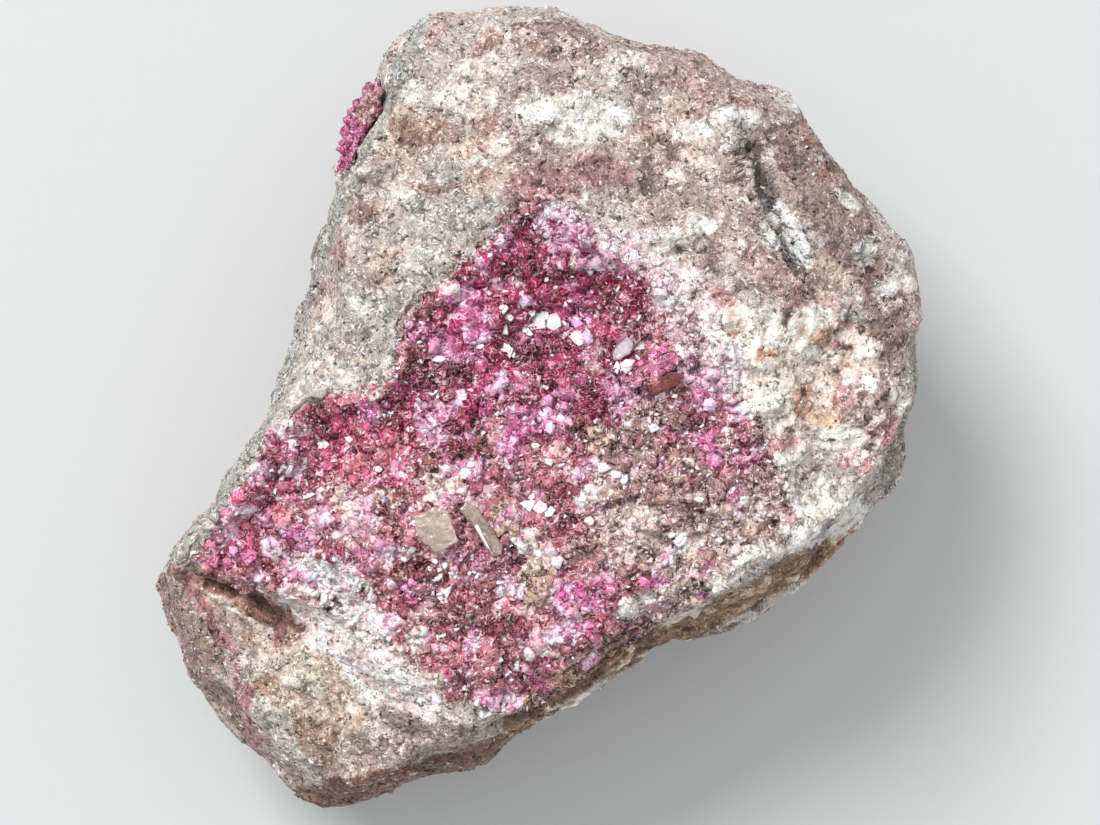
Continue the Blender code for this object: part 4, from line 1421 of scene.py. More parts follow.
@dataclass(frozen=True)
class MirrorFinish(Finish):
    """A fresh cleavage face that throws the light back."""

    colour: Colour = (242, 238, 238)  # Its colour as seen.
    roughness: float = 0.12  # Its roughness.

    def sockets(self, desk: NodeDesk) -> dict[str, object]:
        """Builds its thin veil and faint relief.

        Args:
            desk: What the nodes are built with.

        Returns:
            What feeds the shader's sockets.
        """
        places = desk.places()
        veil = desk.ranged(desk.clouds(places, 0.3), 0.85, 1.0, 0.35, 0.65)
        colour = desk.scaled((*linear(self.colour),), veil)
        flat = desk.clouds(places, 0.25)
        normal = desk.bumped(flat, 0.02, 0.4, desk.node("NewGeometry").outputs["Normal"])
        return {
            "Base_Color": colour, "Roughness": self.roughness, "Normal": normal, "IOR": 1.66,
            "Coat_Weight": 1.0, "Coat_Roughness": 0.05,
        }


@dataclass(frozen=True)
class FloorFinish(Finish):
    """Plain pale board with the faintest tooth."""

    colour: Colour = (196, 197, 197)  # Its colour as seen.

    def sockets(self, desk: NodeDesk) -> dict[str, object]:
        """Builds the board's tooth."""
        tooth = desk.ranged(desk.clouds(desk.places(), 1.2, 4.0), 0.985, 1.015)
        return {"Base_Color": desk.scaled((*linear(self.colour),), tooth), "Roughness": 0.8}


def dress(
    piece: bpy.types.Object, material: bpy.types.Material, replaced: Sequence[str] = ()
) -> None:
    """Gives a piece its material, its body and its slot, and reports it.

    Args:
        piece: The piece.
        material: What it is made of.
        replaced: The nodes that it stands for.
    """
    piece.data.materials.append(material)
    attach(piece, BODY)
    if replaced:
        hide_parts(*replaced)
    log.info("%s: %d triangles", piece.name, len(piece.data.polygons))


def softened_rock() -> FineMesh:
    """The rock's solid with evened triangles and softened edges.

    Returns:
        Its mesh.
    """
    mesh = FineMesh.of_node("matrix_rock")
    mesh.refine(lambda _: 1.3)
    mesh.relax(3)
    return mesh


def moved(grid: Numbers, steps: Sequence[int], axes: Sequence[int] = (0, 1)) -> list[Numbers]:
    """Moves a grid along its rows and columns.

    Args:
        grid: The grid.
        steps: The numbers of cells by which it moves.
        axes: Along which axes it moves.

    Returns:
        The moved grids, empty where nothing moves in.
    """
    grids = []
    for axis, step in ((axis, step) for axis in axes for step in steps):
        edge = [slice(None), slice(None)]
        edge[axis] = slice(0, step) if step >= 0 else slice(step, None)
        grids.append(np.roll(grid, step, axis))
        grids[-1][tuple(edge)] = np.nan
    return grids


@dataclass
class CrustBed:
    """The crust's surface under its crystals, on a square grid."""

    pitch: float = 0.16  # The grid's pitch in millimetres.
    margin: float = 2.0  # How far the grid reaches past the solid.
    opening: float = 1.45  # Half the width of the crystals that are taken off the solid to find its bed.
    overlap: float = 1.1  # How far the bed reaches past the solid's edge, to hide the gap there.
    dip: float = 0.07  # How much the bed falls for each step past the edge.
    border: float = 3.6  # The width over which the bed bends to the height of the rock beside it.
    proud: float = 0.15  # How far it stands over that rock.
    sink: float = 0.3  # How far it bends down at most.
    known: float = 4.0  # How far from the crust's edge the distance to it is known.
    face_height: float = 22.0  # The least height of the specimen's face.
    jitter: float = 0.32  # How far the mesh's points stray from the grid, as a share of its pitch.
    blur: int = 8  # How many times the bed is smoothed.
    beside: tuple[float, float] = (0.3, 1.7)  # From where to where outside its edge the rock is read.
    seam: float = 0.9  # Half the width of its seam with the rock.

    def build(self) -> None:
        """Reads the solid crust from above and works out the bed and the distances from its edge."""
        low, high = (np.array(corner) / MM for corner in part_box("cobalt_crust"))
        self.x, self.y = (
            np.arange(low[axis] - self.margin, high[axis] + self.margin, self.pitch) for axis in (0, 1)
        )
        everywhere = np.ones((len(self.y), len(self.x)), bool)
        heights = self._looked_down(FineMesh.of_node("cobalt_crust"), everywhere, high[2] + 5)
        solid = ~np.isnan(heights)
        self.edge = np.zeros(solid.shape)
        for sign, inner in ((1, solid.astype(float)), (-1, (~solid).astype(float))):
            for _ in range(round(self.known / self.pitch)):
                self.edge += sign * self.pitch * inner
                inner = np.fmin.reduce([inner, *moved(inner, (-1, 1))])
        bed = self._spread(self._spread(heights, self.opening, np.fmin), self.opening, np.fmax)
        bed[~solid] = np.nan
        for _ in range(self.blur):
            bed = np.where(solid, np.nanmean([bed, *moved(bed, (-2, -1, 1, 2))], axis=0), np.nan)
        self.heights = self._bordered(self._flush(bed), self.overlap, self.dip)

    def _looked_down(self, mesh: FineMesh, where: Numbers, start: float) -> Numbers:
        """Reads a mesh's height from above.

        Args:
            mesh: The mesh.
            where: Which cells are read.
            start: The height at which the look down starts.

        Returns:
            The heights, empty where nothing is read or met.
        """
        tree, heights = mesh.tree(), np.full(where.shape, np.nan)
        for row, column in zip(*np.nonzero(where)):
            place = tree.ray_cast(Vector((self.x[column], self.y[row], start)), Vector((0, 0, -1)))[0]
            if place is not None:
                heights[row, column] = place.z
        return heights

    def _flush(self, heights: Numbers) -> Numbers:
        """Bends the bed's border to the height of the rock beside it.

        Args:
            heights: The bed's heights.

        Returns:
            The heights with that border.
        """
        least, most = self.beside
        beside = self._looked_down(softened_rock(), (self.edge < -least) & (self.edge > -most), 60)
        beside = self._bordered(self._spread(beside, 1.0, np.fmax), self.border, 0)
        across, along = np.meshgrid(self.x, self.y)
        spots = np.stack([across.ravel(), along.ravel(), np.zeros(across.size)], axis=1)
        wave = 1 + 0.5 * SmoothField(2.2, 2, 65).at(spots).reshape(across.shape)
        share = smooth_step(1 - self.edge * wave / self.border)
        bend = np.clip(beside + self.proud - heights, -self.sink, None)
        return heights + share * np.nan_to_num(bend)

    def _spread(self, grid: Numbers, reach: float, pick: np.ufunc) -> Numbers:
        """Spreads the lowest or the highest values.

        Args:
            grid: The grid.
            reach: How far they spread, in millimetres.
            pick: What picks one of two values.

        Returns:
            The grid after that.
        """
        cells = round(reach / self.pitch)
        for axis in (0, 1):
            grid = pick.reduce(moved(grid, range(-cells, cells + 1), (axis,)))
        return grid

    def _bordered(self, grid: Numbers, width: float, dip: float) -> Numbers:
        """Adds a border to the grid.

        Args:
            grid: The grid.
            width: The border's width in millimetres.
            dip: How much each of its cells is lower than the last.

        Returns:
            The larger grid.
        """
        for _ in range(round(width / self.pitch)):
            near = np.stack(moved(grid, (-1, 1)))
            known = ~np.isnan(near)
            mean = np.where(known, near, 0).sum(axis=0) / np.maximum(known.sum(axis=0), 1)
            grid = np.where(np.isnan(grid) & known.any(axis=0), mean - dip, grid)
        return grid

    def mesh(self) -> FineMesh:
        """The bed as a mesh of triangles.

        Returns:
            The mesh.
        """
        known = ~np.isnan(self.heights)
        index = np.full(known.shape, -1)
        index[known] = np.arange(known.sum())
        across, along = np.meshgrid(self.x, self.y)
        points = np.stack([across[known], along[known], self.heights[known]], axis=1)
        stray = np.random.default_rng(5).uniform(-1, 1, (len(points), 2))
        points[:, :2] += self.jitter * self.pitch * stray
        a, b, c, d = index[:-1, :-1], index[:-1, 1:], index[1:, 1:], index[1:, :-1]
        whole = (a >= 0) & (b >= 0) & (c >= 0) & (d >= 0)
        odd = (np.indices(whole.shape).sum(axis=0) % 2).astype(bool)
        halves = ((~odd, (a, b, c)), (~odd, (a, c, d)), (odd, (a, b, d)), (odd, (b, c, d)))
        return FineMesh(points, np.concatenate([np.stack(t, axis=-1)[whole & some] for some, t in halves]))

    def inside(self, points: Numbers) -> Numbers:
        """How far points lie inside the crust's edge.

        Args:
            points: Places in millimetres.

        Returns:
            Distances in millimetres, below 0 outside it.
        """
        column, row = (
            np.clip(np.round((points[:, axis] - line[0]) / self.pitch).astype(int), 0, len(line) - 1)
            for axis, line in enumerate((self.x, self.y))
        )
        return np.where(points[:, 2] > self.face_height, self.edge[row, column], -self.known)

    def at_seam(self, points: Numbers) -> Numbers:
        """Whether points lie by the crust's edge."""
        return np.abs(self.inside(points) + 0.2) < self.seam


@dataclass(frozen=True)
class SpecimenPainter:
    """Paints rock and crust as one, with a ragged border between them."""

    bed: CrustBed  # The crust's bed.
    # Paints the rock.
    rock: FacePainter = FacePainter(GREY_ROCK, ROCK_ZONES + SHARED_ZONES, under=ROCK_MOTTLE)
    # Paints the crust.
    crust: FacePainter = FacePainter(
        CRUST_BASE, CRUST_ZONES + SHARED_ZONES, over=CRUST_MOTTLE, last=SHARED_ZONES[-4:]
    )

    def paint(self, points: Numbers, normals: Numbers) -> Paint:
        """Works out the minerals at points of the specimen.

        Args:
            points: Places in millimetres.
            normals: The directions in which the surface looks there.

        Returns:
            The paint of each point.
        """
        inside = self.bed.inside(points) + 0.5 + 0.9 * SmoothField(1.3, 3, 61).at(points)
        share = smooth_step(inside / 0.4 + 0.5) * smooth_step(normals[:, 2] / 0.3)
        rows = np.zeros((len(points), len(GREY_ROCK.row())))
        for painter, part in ((self.rock, 1 - share), (self.crust, share)):
            some = part > 0
            rows[some] += part[some, None] * painter.paint(points[some], normals[some]).rows
        return Paint(rows)


PLATE_SIZE = (0.4, 0.22, 0.16)


def scatter_plates(
    name: str, places: Numbers, turns: Numbers, spread: tuple[float, float], finish: Finish,
    rng: Dice,
) -> None:
    """Builds and dresses many small cleavage plates as one piece.

    Args:
        name: The piece's name.
        places: The plates' middles.
        turns: Their rotation matrices.
        spread: The smallest and the largest, against the usual one.
        finish: What they are made of.
        rng: The random numbers to use.
    """
    sizes = rng.uniform(*spread, (len(places), 1)) * np.array(PLATE_SIZE)
    mesh = Swarm(Form.PLATE, 0.3).grow(places, turns, sizes, None, rng)
    dress(mesh.to_object(name), finish.material(name.replace("_", " ")))


@dataclass
class HostRock:
    """The broken granular rock, with grains that stand out of it."""

    bed: CrustBed  # The crust that lies on it.
    painter: SpecimenPainter  # What colours it.
    face_edge: float = 0.42  # The longest edge of its triangles on the face, in millimetres.
    crease_edge: float = 0.25  # The longest edge along a crisp crease.
    side_edge: float = 1.4  # The longest edge on the sides.
    base_edge: float = 2.0  # The longest edge on the base, and under the crust.
    rim: float = 18.0  # The height over which its triangles are those of the face.
    foot: float = 1.0  # The height under which they are those of the base.
    near: float = 5.0  # How far from a crisp crease, in pixels, its short edges reach.
    covered: float = 1.2  # How far inside the crust's edge the rock no longer shows.
    clear: float = 0.7  # How far inside that edge its grains still stand.
    seam_grains: float = 4.0  # How many times more grains stand by that edge, besides the usual ones.
    chalk_grains: float = 2.0  # The same for the chalk.
    flat: float = 0.35  # What a grain's height is multiplied by.
    seam_flat: float = 0.9  # The same by the crust's edge.
    hackle: Hackle = Hackle(((5.5, 0.48), (2.4, 0.3), (1.1, 0.16), (0.62, 0.08)), 40)  # Its broken relief.
    face_height: float = 17.0  # The least height of the face, where the grains are those of the face.
    face_grains: int = 11000  # How many grains stand out of the face.
    side_grains: int = 8000  # How many stand out of the sides.
    flakes: int = 1000  # How many bright cleavage flakes show on the face; their near-white colour is partly a painted highlight.
    # What the grains are like.
    grain: Swarm = Swarm(Form.CHIP, 0.3, 0.1, lean=9, drift=0.1, shape=(0.6, 1.4))

    def build(self) -> None:
        """Builds and dresses the rock and its grains."""
        mesh = softened_rock()
        mesh.refine(self._longest)
        mesh.relax(1, 0.5)
        normals = mesh.normals()
        relief = self.hackle.at(mesh.points)
        relief.height *= 0.6 + 0.4 * smooth_step(normals[:, 2] / 0.7)
        relief.height += relief.fine * ROUGH_GROUND.cover(*VIEW.pixels(mesh.points))
        carving, stripes = carved(mesh.points, normals)
        off_base = smooth_step(mesh.points[:, 2] / 1.2)
        mesh.points += ((relief.height + carving) * off_base)[:, None] * normals
        mesh.points[:, 2] = np.maximum(mesh.points[:, 2], 0)
        paint = self.painter.paint(mesh.points, normals)
        # broken() lays painted shade in the crevices and painted light on the raised relief.
        mesh.tints = paint.broken(mesh.points, relief, 0.2, 1.3) * stripes[:, None]
        material = MineralFinish().material("granular host rock")
        dress(mesh.to_object("host_rock"), material, ("matrix_rock",))
        self._grow_grains(mesh, np.random.default_rng(7))

    def _longest(self, middle: Numbers) -> Numbers:
        """The longest edge wanted.

        Args:
            middle: Places in millimetres.

        Returns:
            A length for each of them.
        """
        height = middle[:, 2]
        across, down = VIEW.pixels(middle)
        runs = [crease.points for crease in ROCK_CREASES if crease.crisp]
        near = [beside_run(run, across, down)[0] < self.near for run in runs]
        crisp = np.any(near, axis=0) & (height > self.bed.face_height)
        return np.select(
            [self.bed.inside(middle) > self.covered, crisp, height < self.foot, height > self.rim],
            [self.base_edge, self.crease_edge, self.base_edge, self.face_edge],
            self.side_edge,
        )

    def _grow_grains(self, rock: FineMesh, rng: Dice) -> None:
        """Grows the flakes of the face and the grains of the face and the sides.

        Args:
            rock: What they stand on.
            rng: The random numbers to use.
        """
        centres = rock.centres
        upward = unit(rock.face_normals())[:, 2] > -0.1
        clear = (self.bed.inside(centres) < self.clear) & bare(centres)
        on_face = (centres[:, 2] > self.face_height) & upward & clear
        on_side = ~on_face & clear & (centres[:, 2] > 0.8)
        places, normals = rock.samples(self.flakes, on_face, rng)
        # Near-white flakes that stand partly for glints: a painted highlight besides their real reflection.
        finish = MirrorFinish((240, 237, 232), 0.3)
        turns = standing(normals, 35, rng)
        scatter_plates("rock_flakes", places, turns, (0.4, 1.0), finish, rng)
        chalk, seam = CHALK.cover(*VIEW.pixels(centres)), self.bed.at_seam(centres)
        on_face = on_face * (1 + self.seam_grains * seam + self.chalk_grains * chalk)
        for name, count, where, swell in (
            ("face_grains", self.face_grains, on_face, 1.0), ("side_grains", self.side_grains, on_side, 1.1)
        ):
            places, normals = rock.samples(count, where, rng)
            paint = self.painter.paint(places, normals)
            seam = self.bed.at_seam(places) & (normals[:, 2] > 0.6)
            flat = np.where(seam, self.seam_flat, self.flat)
            mesh = replace(self.grain, swell=swell).stand(places, normals, paint, rng, flat)
            dress(mesh.to_object(name), MineralFinish().material(name.replace("_", " ")))


# The forms of the larger crystals that the crust's last zones have.
GROWN_FORMS = (Form.RHOMB, Form.RHOMB, Form.PLATE, Form.RHOMB, Form.RHOMB)


@dataclass
class CobaltCrust:
    """The crust of crystals: its bed, the crystals on it, and the sugar between them."""

    bed: CrustBed  # The bed's grid.
    painter: SpecimenPainter  # What colours it.
    glint: Numbers  # The direction in which a face looks that throws the light into the camera.
    # How many rhombs and plates stand on it, and what they are like.
    crystals: tuple[tuple[int, Swarm], ...] = (
        (975, Swarm(Form.RHOMB, 0.07, lean=50, swell=1.5, spread=(0.4, 1.4), shape=(0.75, 1.25))),
        (525, Swarm(Form.PLATE, 0.07, lean=70, swell=1.9, spread=(0.4, 1.4), shape=(0.75, 1.25))),
    )
    sugar: int = 6500  # How many small grains lie between them.
    sparkles: int = 1100  # How many small plates throw the light into the camera.
    shimmer: float = 0.16  # How far those look aside from the glint.
    calm: float = 0.4  # The share of the faces' relief that stays over the fibres.
    crowd: float = 28.0  # How large a spot is for each further crystal, as the product of its half-lengths.
    widest: float = 11.0  # The largest half-width of a spot, in pixels, that its crystals follow.
    # The relief of the crystal faces on the bed.
    druse: Druse = Druse(((2.9, 0.36), (1.4, 0.38), (0.7, 0.2)), 70)

    def build(self) -> None:
        """Builds and dresses the crust."""
        self.rng = rng = np.random.default_rng(11)
        self.surface = mesh = self.bed.mesh()
        normals = mesh.normals()
        relief = self.druse.at(mesh.points)
        carving, stripes = carved(mesh.points, normals)
        mesh.points[:, 2] += np.where(bare(mesh.points), relief.height, self.calm * relief.height) + carving
        paint = self.painter.paint(mesh.points, normals)
        # broken() lays painted shade in the crevices and painted light on the raised relief.
        mesh.tints = paint.broken(mesh.points, relief, 0.28, 1.5) * stripes[:, None]
        grown = [swarm.stand(*self._scattered(count, 1.0), rng) for count, swarm in self.crystals]
        grown += [self._cluster(zone, form) for zone, form in zip(CRUST_ZONES[-5:], GROWN_FORMS)]
        material = CRYSTAL_FINISH.material("cobaltoan calcite")
        piece = join([mesh, *grown]).to_object("cobalt_crystal_crust")
        dress(piece, material, ("cobalt_crust",))
        sugar = Swarm(Form.CHIP, 0.3, lean=80, spread=(0.4, 1.1), largest=0.42, sink=0)
        piece = sugar.stand(*self._scattered(self.sugar, 1.6), rng).to_object("crust_sugar")
        dress(piece, material)
        places, normals, _ = self._scattered(self.sparkles, 0.6)
        turns = standing(unit(self.glint + self.shimmer * rng.normal(size=places.shape)), 4, rng)
        finish = MirrorFinish((246, 232, 240), 0.18)
        places = places + 0.1 * normals
        scatter_plates("crust_sparkles", places, turns, (0.3, 1.2), finish, rng)

    def _scattered(self, count: int, least: float) -> tuple[Numbers, Numbers, Paint]:
        """Scatters places over the bed, more of them where the grains are small.

        Args:
            count: How many.
            least: The power of the grain size that thins them out.

        Returns:
            The places, the normals there and the paint.
        """
        centres = self.surface.centres
        grain = self.painter.paint(centres, unit(self.surface.face_normals())).grain
        places, normals = self.surface.samples(count, bare(centres) * grain**-least, self.rng)
        return places, normals, self.painter.paint(places, normals)

    def _cluster(self, zone: Zone, form: Form) -> FineMesh:
        """Grows a zone's own larger crystals, a few together at each of its spots.

        Args:
            zone: Where they stand and what they are made of.
            form: Their form.

        Returns:
            Their mesh.
        """
        tree, rng = self.surface.tree(), self.rng
        places, sizes = [], []
        for x, y, long, short, heading in zone.spots:
            for _ in range(5 + round(long * short / self.crowd)):
                u, v = rng.uniform(-1, 1, 2) * (long, short)
                place = VIEW.seen(tree, *off_middle(x, y, heading, u, v))
                if place is not None:
                    sizes.append(VIEW.pixel * min(short, self.widest) * rng.uniform(0.35, 1.05))
                    places.append(place - Vector((0, 0, 0.15 * sizes[-1])))
        count = len(places)
        paint = Paint(np.tile(zone.mineral.row(), (count, 1)))
        sizes = np.array(sizes)[:, None] * rng.uniform(0.6, 1.3, (count, 3))
        turns = standing(np.tile((0.0, 0.0, 1.0), (count, 1)), 60, rng)
        colours = paint.picked(rng.random((count, 3)), 0.2)
        return Swarm(form, 0.15, 0.2).grow(np.array(places), turns, sizes, colours, rng)


@dataclass(frozen=True)
class Outline:
    """A shape drawn on the face, as pixels round its edge."""

    pixels: Pixels  # The pixels, in order.

    @classmethod
    def oval(cls, spot: Spot, seed: int) -> "Outline":
        """An irregular, many-cornered oval.

        Args:
            spot: Its middle, its two half-lengths and its heading, as in a zone.
            seed: Which irregular shape it is.

        Returns:
            The outline.
        """
        x, y, long, short, heading = spot
        rng = np.random.default_rng(seed)
        number = int(rng.integers(4, 8))
        angles = 2 * math.pi * (np.arange(number) + rng.uniform(-0.25, 0.25, number)) / number
        reach = rng.uniform(0.7, 1.3, number)
        u, v = long * reach * np.cos(angles), short * reach * np.sin(angles)
        across, down = off_middle(x, y, heading, u, v)
        return cls(tuple(zip(across.tolist(), down.tolist())))

    def flat(self, height: float) -> Numbers:
        """The outline's corners at a height, in millimetres, going round counter-clockwise.

        Args:
            height: The height.

        Returns:
            One row for each corner.
        """
        rays = np.array([VIEW.direction(across, down) for across, down in self.pixels])
        corners = VIEW.eye + rays * (height - VIEW.eye[2]) / rays[:, 2:]
        x, y = corners[:, 0], corners[:, 1]
        area = (x * np.roll(y, -1) - np.roll(x, -1) * y).sum()
        return corners if area > 0 else corners[::-1]


def slab(top: Numbers, base: Numbers) -> FineMesh:
    """A closed slab between a top outline and a base outline.

    Args:
        top: The top's corners, counter-clockwise from above.
        base: The base's corners, in the same order.

    Returns:
        The mesh.
    """
    count = len(top)
    points = np.concatenate([top, base, [top.mean(axis=0)], [base.mean(axis=0)]])
    faces = []
    for k in range(count):
        n = (k + 1) % count
        faces += [(k, n, 2 * count), (count + n, count + k, 2 * count + 1)]
        faces += [(count + k, count + n, n), (count + k, n, k)]
    return FineMesh(points, np.array(faces))


@dataclass
class GlintPlates:
    """Cleavage plates of the crust that throw the light up into the camera."""

    tree: BVHTree  # The crust and its largest crystals.
    glint: Numbers  # The direction in which they look.
    # Each plate's middle pixel, its two half-lengths in pixels and its heading.
    plates: tuple[Spot, ...] = (
        (503, 309, 5, 6, 0), (503, 326, 5, 11, 5), (510, 318, 4, 4, 0), (537, 321, 8, 9, 20),
        (554, 323, 8, 9, -20), (528, 333, 5, 5, 0), (578, 339, 6, 7, 20), (588, 337, 4, 6, 0),
        (508, 351, 5, 7, 20), (515, 357, 4, 3, 0), (481, 348, 5, 3, 0), (640, 351, 4, 10, -10),
        (629, 366, 10, 6, 25), (617, 369, 4, 6, 0), (439, 360, 6, 3, 0), (463, 398, 6, 4, 20),
        (433, 393, 5, 3, 10), (487, 257, 8, 2, 15), (241, 493, 6, 6, 0), (310, 496, 7, 3, 10),
        (322, 490, 4, 3, 0), (324, 446, 5, 4, 0), (465, 473, 6, 6, 0), (471, 466, 4, 3, 0),
        (529, 505, 7, 6, 10), (541, 508, 7, 6, -20), (552, 510, 4, 4, 0), (591, 522, 5, 4, 0),
        (550, 462, 5, 4, 0), (604, 468, 6, 5, 0), (616, 476, 6, 5, -30), (625, 480, 4, 5, 0),
        (655, 429, 5, 4, 0), (536, 447, 4, 3, 0), (439, 575, 7, 7, 10), (447, 590, 6, 7, 0),
        (436, 562, 4, 3, 0), (430, 570, 3, 3, 0), (681, 541, 7, 5, 20), (672, 536, 4, 3, 0),
        (592, 655, 5, 3, 20), (561, 640, 4, 4, 0), (405, 560, 4, 3, 0), (500, 660, 4, 3, 0),
        (540, 600, 4, 3, 0), (560, 560, 4, 3, 0), (640, 500, 4, 3, 0), (700, 500, 5, 3, 0),
        (720, 540, 4, 3, 0), (650, 560, 4, 3, 0), (380, 470, 4, 3, 0), (350, 440, 4, 3, 0),
        (300, 520, 4, 3, 0), (270, 470, 5, 3, 20), (410, 430, 4, 3, 0), (480, 532, 21, 1.6, -60),
        (442, 598, 4, 7, 30), (434, 579, 3, 3, 0), (446, 566, 3, 3, 0), (532, 498, 4, 3, 60),
        (547, 515, 6, 3, 15), (627, 369, 6, 5, 20), (640, 343, 3, 5, -10), (545, 316, 4, 5, 40),
        (531, 315, 5, 4, 30),
    )
    lift: float = 0.35  # How far their middles stand over the bed, in millimetres.
    thickness: float = 0.15  # Their thickness in millimetres.
    large: float = 4.0  # The half-width in pixels from which a plate has three parts.
    aside: float = 0.55  # How far the second and third part lie aside, against its half-lengths.
    stair: float = 0.06  # How much higher each of them is, in millimetres.
    flare: float = 0.15  # How much wider a plate is at its base.

    def build(self) -> None:
        """Builds and dresses the plates, the larger ones in three parts."""
        rng = np.random.default_rng(23)
        meshes = []
        for number, (x, y, long, short, heading) in enumerate(self.plates):
            place = VIEW.seen(self.tree, x, y)
            if place is None:
                log.warning("plate %d misses the crust", number)
                continue
            for part in range(1 if min(long, short) < self.large else 3):
                normal = unit(self.glint + 0.03 * rng.normal(size=3))
                right, fall = self.aside * rng.uniform(-1, 1, 2) * (long, short) * (part > 0)
                size = rng.uniform(0.4, 0.75) if part else 1.0
                spot = (x + right, y + fall, size * long, size * short, heading)
                ring = Outline.oval(spot, 300 + 7 * number + part).flat(place.z)
                middle = ring.mean(axis=0)
                away = ring - middle
                away[:, 2] = -(away[:, :2] @ normal[:2]) / normal[2]
                top = middle + away + (self.lift + self.stair * part) * normal
                meshes.append(slab(top, top - self.thickness * normal + self.flare * away))
        piece = join(meshes).to_object("cleavage_plates")
        dress(piece, MirrorFinish().material("bright cleavage"))


@dataclass(frozen=True)
class Block:
    """One of the crust's largest crystals."""

    name: str  # Its piece's name.
    outline: Outline  # Its top as seen.
    rise: float  # How far its top stands over the bed, in millimetres.
    depth: float  # How far it reaches down.
    # How much higher its top is at the left and at the upper edge, per millimetre.
    fall: tuple[float, float]
    top: Colour  # The colour of its top as seen.
    side: Colour  # The colour of its sides and of its top's rim: darker than the top on the red, brown red, plum and lilac crystals, as painted shade, and paler than it on the smoky ones.
    stripe: float  # The heading of the stripes on it, in degrees.
    streaks: float  # How strongly the stripes differ.
    finish: MineralFinish  # What it is made of.

    def build(self, tree: BVHTree) -> FineMesh:
        """Builds and dresses the crystal.

        Args:
            tree: The crust's bed.

        Returns:
            Its mesh.
        """
        place = VIEW.seen(tree, *np.mean(self.outline.pixels, axis=0).tolist())
        ring = self.outline.flat(place.z + self.rise)
        away = ring - ring.mean(axis=0)
        top = ring + np.outer(away[:, :2] @ np.array([-self.fall[0], self.fall[1]]), (0, 0, 1))
        mesh = slab(top, top + 0.12 * away - np.array([0, 0, self.depth]))
        mesh.refine(lambda _: 0.22)
        points, normals = mesh.points, mesh.normals()
        along, beside = turned(points[:, 0], points[:, 1], self.stripe)
        stripes = SmoothField(0.45, 3, 81).at(np.stack([beside, along / 5, points[:, 2] / 3], axis=1))
        relief = 0.08 * stripes + 0.16 * BrokenField(1.1, 83).at(points)[0]
        flat, corners = points[:, :2], ring[:, :2]
        sides = zip(corners, unit(np.roll(corners, -1, axis=0) - corners))
        inward = np.min([(flat - start) @ np.array([-y, x]) for start, (x, y) in sides], axis=0)
        inward += 0.35 * SmoothField(0.7, 3, 84).at(points)
        mesh.points = points + (relief - 0.12 * smooth_step(1 - inward / 0.3))[:, None] * normals
        # Faces turned up, away from the rim, take the top colour and the rest take the side colour; darker
        # sides are painted shade.
        upward = smooth_step((normals[:, 2] - 0.2) / 0.5) * smooth_step((inward + 0.1) / 0.6)
        tint = linear(self.side) + upward[:, None] * (linear(self.top) - linear(self.side))
        mesh.tints = tint * (1 + self.streaks * stripes[:, None])
        material = self.finish.material(self.name.replace("_", " "))
        dress(mesh.to_object(self.name), material)
        return mesh

BLOCKS = (
    Block(
        "smoky_rhomb",
        Outline(((410, 516), (434, 505), (449, 511), (458, 541), (448, 549), (434, 553), (417, 538))),
        0.6, 2.4, (-0.12, 0.05), (206, 182, 168), (240, 196, 184), 8, 0.45, SMOKY_FINISH,
    ),
    Block(
        "smoky_blade",
        Outline(((459, 509), (466, 502), (477, 506), (504, 546), (502, 555), (492, 557))),
        0.6, 2.0, (0.1, 0.1), (186, 162, 146), (216, 182, 168), -58, 0.6, SMOKY_FINISH,
    ),
    Block(
        "smoky_grain",
        Outline(((498, 508), (508, 505), (518, 510), (520, 523), (511, 531), (500, 528), (495, 518))),
        0.25, 1.5, (0.0, 0.1), (198, 176, 162), (236, 218, 208), 30, 0.3, SMOKY_FINISH,
    ),
    Block(
        "red_block",
        Outline(((624, 381), (640, 366), (660, 354), (674, 350), (684, 360), (674, 371), (652, 382),
                 (632, 390))),
        1.1, 2.6, (-0.1, 0.15), (190, 92, 132), (150, 62, 84), 32, 0.9, CRYSTAL_FINISH,
    ),
    Block(
        "brown_red_crystal",
        Outline(((647, 389), (656, 379), (671, 371), (684, 373), (680, 384), (662, 395), (652, 396))),
        0.55, 2.0, (0.0, 0.35), (156, 66, 56), (100, 28, 26), 32, 0.4, SMOKY_FINISH,
    ),
    Block(
        "plum_crystal",
        Outline(((681, 360), (690, 355), (699, 361), (697, 370), (686, 371))),
        0.8, 1.8, (0.0, 0.0), (124, 66, 92), (78, 34, 52), 0, 0.3, CRYSTAL_FINISH,
    ),
    Block(
        "lilac_plate",
        Outline(((611, 355), (618, 341), (628, 335), (633, 344), (631, 354), (621, 361), (613, 361))),
        1.0, 1.4, (-0.2, 0.2), (250, 234, 244), (200, 136, 160), 60, 0.15, SMOKY_FINISH,
    ),
)


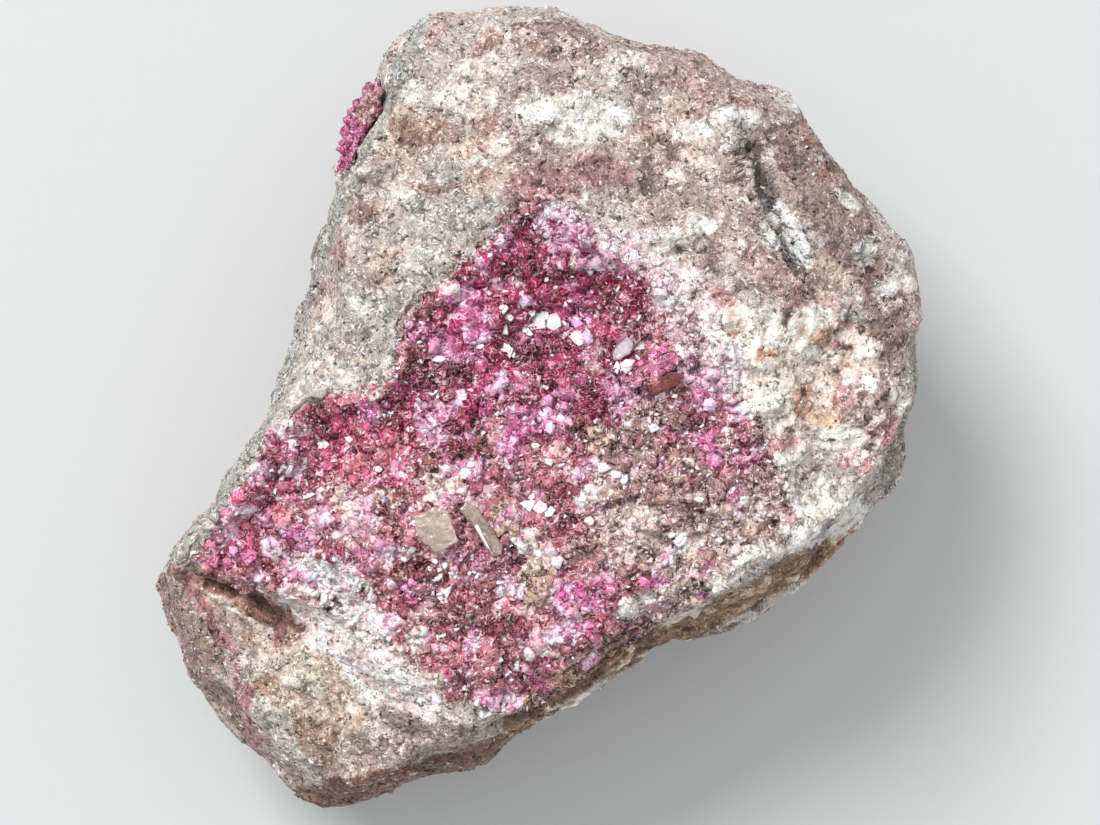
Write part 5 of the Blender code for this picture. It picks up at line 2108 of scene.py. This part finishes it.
@dataclass
class FlankPatch:
    """The second patch of crystals, on the upper left flank."""

    # What colours it: magenta below, brown red in the middle and pink at the top.
    painter: FacePainter = FacePainter(
        Mineral((172, 72, 122), (222, 150, 188), (112, 36, 66), 0.24, 0.2, 0.34),
        (
            Zone(Mineral((168, 118, 110), (212, 176, 168), (116, 66, 64), 0.24, 0.2, 0.34),
                 spots=((374, 104, 24, 16, 62), (366, 150, 22, 8, 66))),
            Zone(Mineral((206, 132, 164), (232, 184, 206), (156, 74, 108), 0.26, 0.12, 0.34),
                 spots=((385, 74, 14, 9, 50),)),
        ),
    )
    hackle: Hackle = Hackle(((1.8, 0.22), (0.9, 0.16), (0.5, 0.08)), 90)  # Its broken relief.
    crystals: int = 900  # How many crystals stand on it.
    crystal: Swarm = Swarm(Form.RHOMB, drift=0.15, sink=0.25, sunk=0)  # What they are like.

    def build(self) -> None:
        """Builds and dresses the patch."""
        rng = np.random.default_rng(19)
        mesh = FineMesh.of_node("flank_crystal_patch")
        mesh.refine(lambda _: 0.35)
        mesh.relax(1, 0.4)
        normals = mesh.normals()
        relief = self.hackle.at(mesh.points)
        mesh.points += (relief.height - 0.1)[:, None] * normals
        # broken() lays painted shade in the crevices and painted light on the raised relief.
        mesh.tints = self.painter.paint(mesh.points, normals).broken(mesh.points, relief, 0.3, 1.0)
        places, normals = mesh.samples(self.crystals, np.ones(len(mesh.faces)), rng)
        paint = self.painter.paint(places, normals)
        crystals = self.crystal.stand(places, normals, paint, rng)
        piece = join([mesh, crystals]).to_object("flank_patch_crystals")
        dress(piece, CRYSTAL_FINISH.material("flank calcite"), ("flank_crystal_patch",))


@dataclass(frozen=True)
class SoftLight:
    """A square soft light that looks at the specimen."""

    name: str  # Its name.
    place: tuple[float, float, float]  # Its place in metres.
    size: float  # Its width in metres.
    power: float  # Its power in watts.

    def build(self) -> None:
        """Adds the light."""
        lamp = bpy.data.lights.new(self.name, "AREA")
        lamp.size, lamp.energy = self.size, self.power
        light = bpy.data.objects.new(self.name, lamp)
        light.location = self.place
        aim = Vector((0, 0, 0.03)) - Vector(self.place)
        light.rotation_euler = aim.to_track_quat("-Z", "Y").to_euler()
        bpy.context.scene.collection.objects.link(light)


@dataclass(frozen=True)
class Studio:
    """The pale floor, the soft lights and the camera."""

    floor_size: float = 4.0  # The floor's width in metres.
    # The light that makes the shadows.
    key: SoftLight = SoftLight("key light", (-0.68, 0.9, 1.48), 0.66, 30.0)
    fill: SoftLight = SoftLight("fill light", (0.1, 0.15, 0.9), 0.9, 2.0)  # The light that softens them.
    sky: float = 0.62  # The strength of the light from all round.
    sky_colour: Colour = (0.96, 0.98, 1.0)  # Its colour, linear.

    def build(self) -> None:
        """Builds the floor, the lights and the camera."""
        self._floor()
        self.key.build()
        self.fill.build()
        world = bpy.data.worlds.new("studio")
        world.use_nodes = True
        sky = world.node_tree.nodes["Background"].inputs
        sky["Color"].default_value = (*self.sky_colour, 1)
        sky["Strength"].default_value = self.sky
        bpy.context.scene.world = world
        bpy.context.scene.view_settings.view_transform = "Standard"
        self._camera()

    @property
    def glint(self) -> Numbers:
        """The direction in which a face looks that throws the key light up into the camera."""
        return unit(unit(np.array(self.key.place)) + np.array([0, 0, 1]))

    def _floor(self) -> None:
        """Makes the floor that the specimen rests on."""
        half = self.floor_size / 2 / MM
        corners = np.array([(-half, -half, 0), (half, -half, 0), (half, half, 0), (-half, half, 0)])
        floor = FineMesh(corners, np.array([(0, 1, 2), (0, 2, 3)])).to_object("floor")
        floor.data.materials.append(FloorFinish().material("pale board"))

    def _camera(self) -> None:
        """Sets the camera at the photograph's viewing angle, straight above the face."""
        data = bpy.data.cameras.new("camera")
        data.lens, data.sensor_width, data.clip_start = VIEW.lens, VIEW.sensor, 0.01
        camera = bpy.data.objects.new("camera", data)
        camera.location = VIEW.eye * MM
        bpy.context.scene.collection.objects.link(camera)
        bpy.context.scene.camera = camera


def main() -> None:
    """Builds the studio, then the specimen's pieces in order."""
    logging.basicConfig(level=logging.INFO, format="%(name)s: %(message)s")
    studio = Studio()
    studio.build()
    bed = CrustBed()
    bed.build()
    painter = SpecimenPainter(bed)
    HostRock(bed, painter).build()
    crust = CobaltCrust(bed, painter, studio.glint)
    crust.build()
    tree = crust.surface.tree()
    blocks = [block.build(tree) for block in BLOCKS]
    GlintPlates(join([crust.surface, *blocks]).tree(), studio.glint).build()
    FlankPatch().build()


if __name__ == "__main__":
    main()
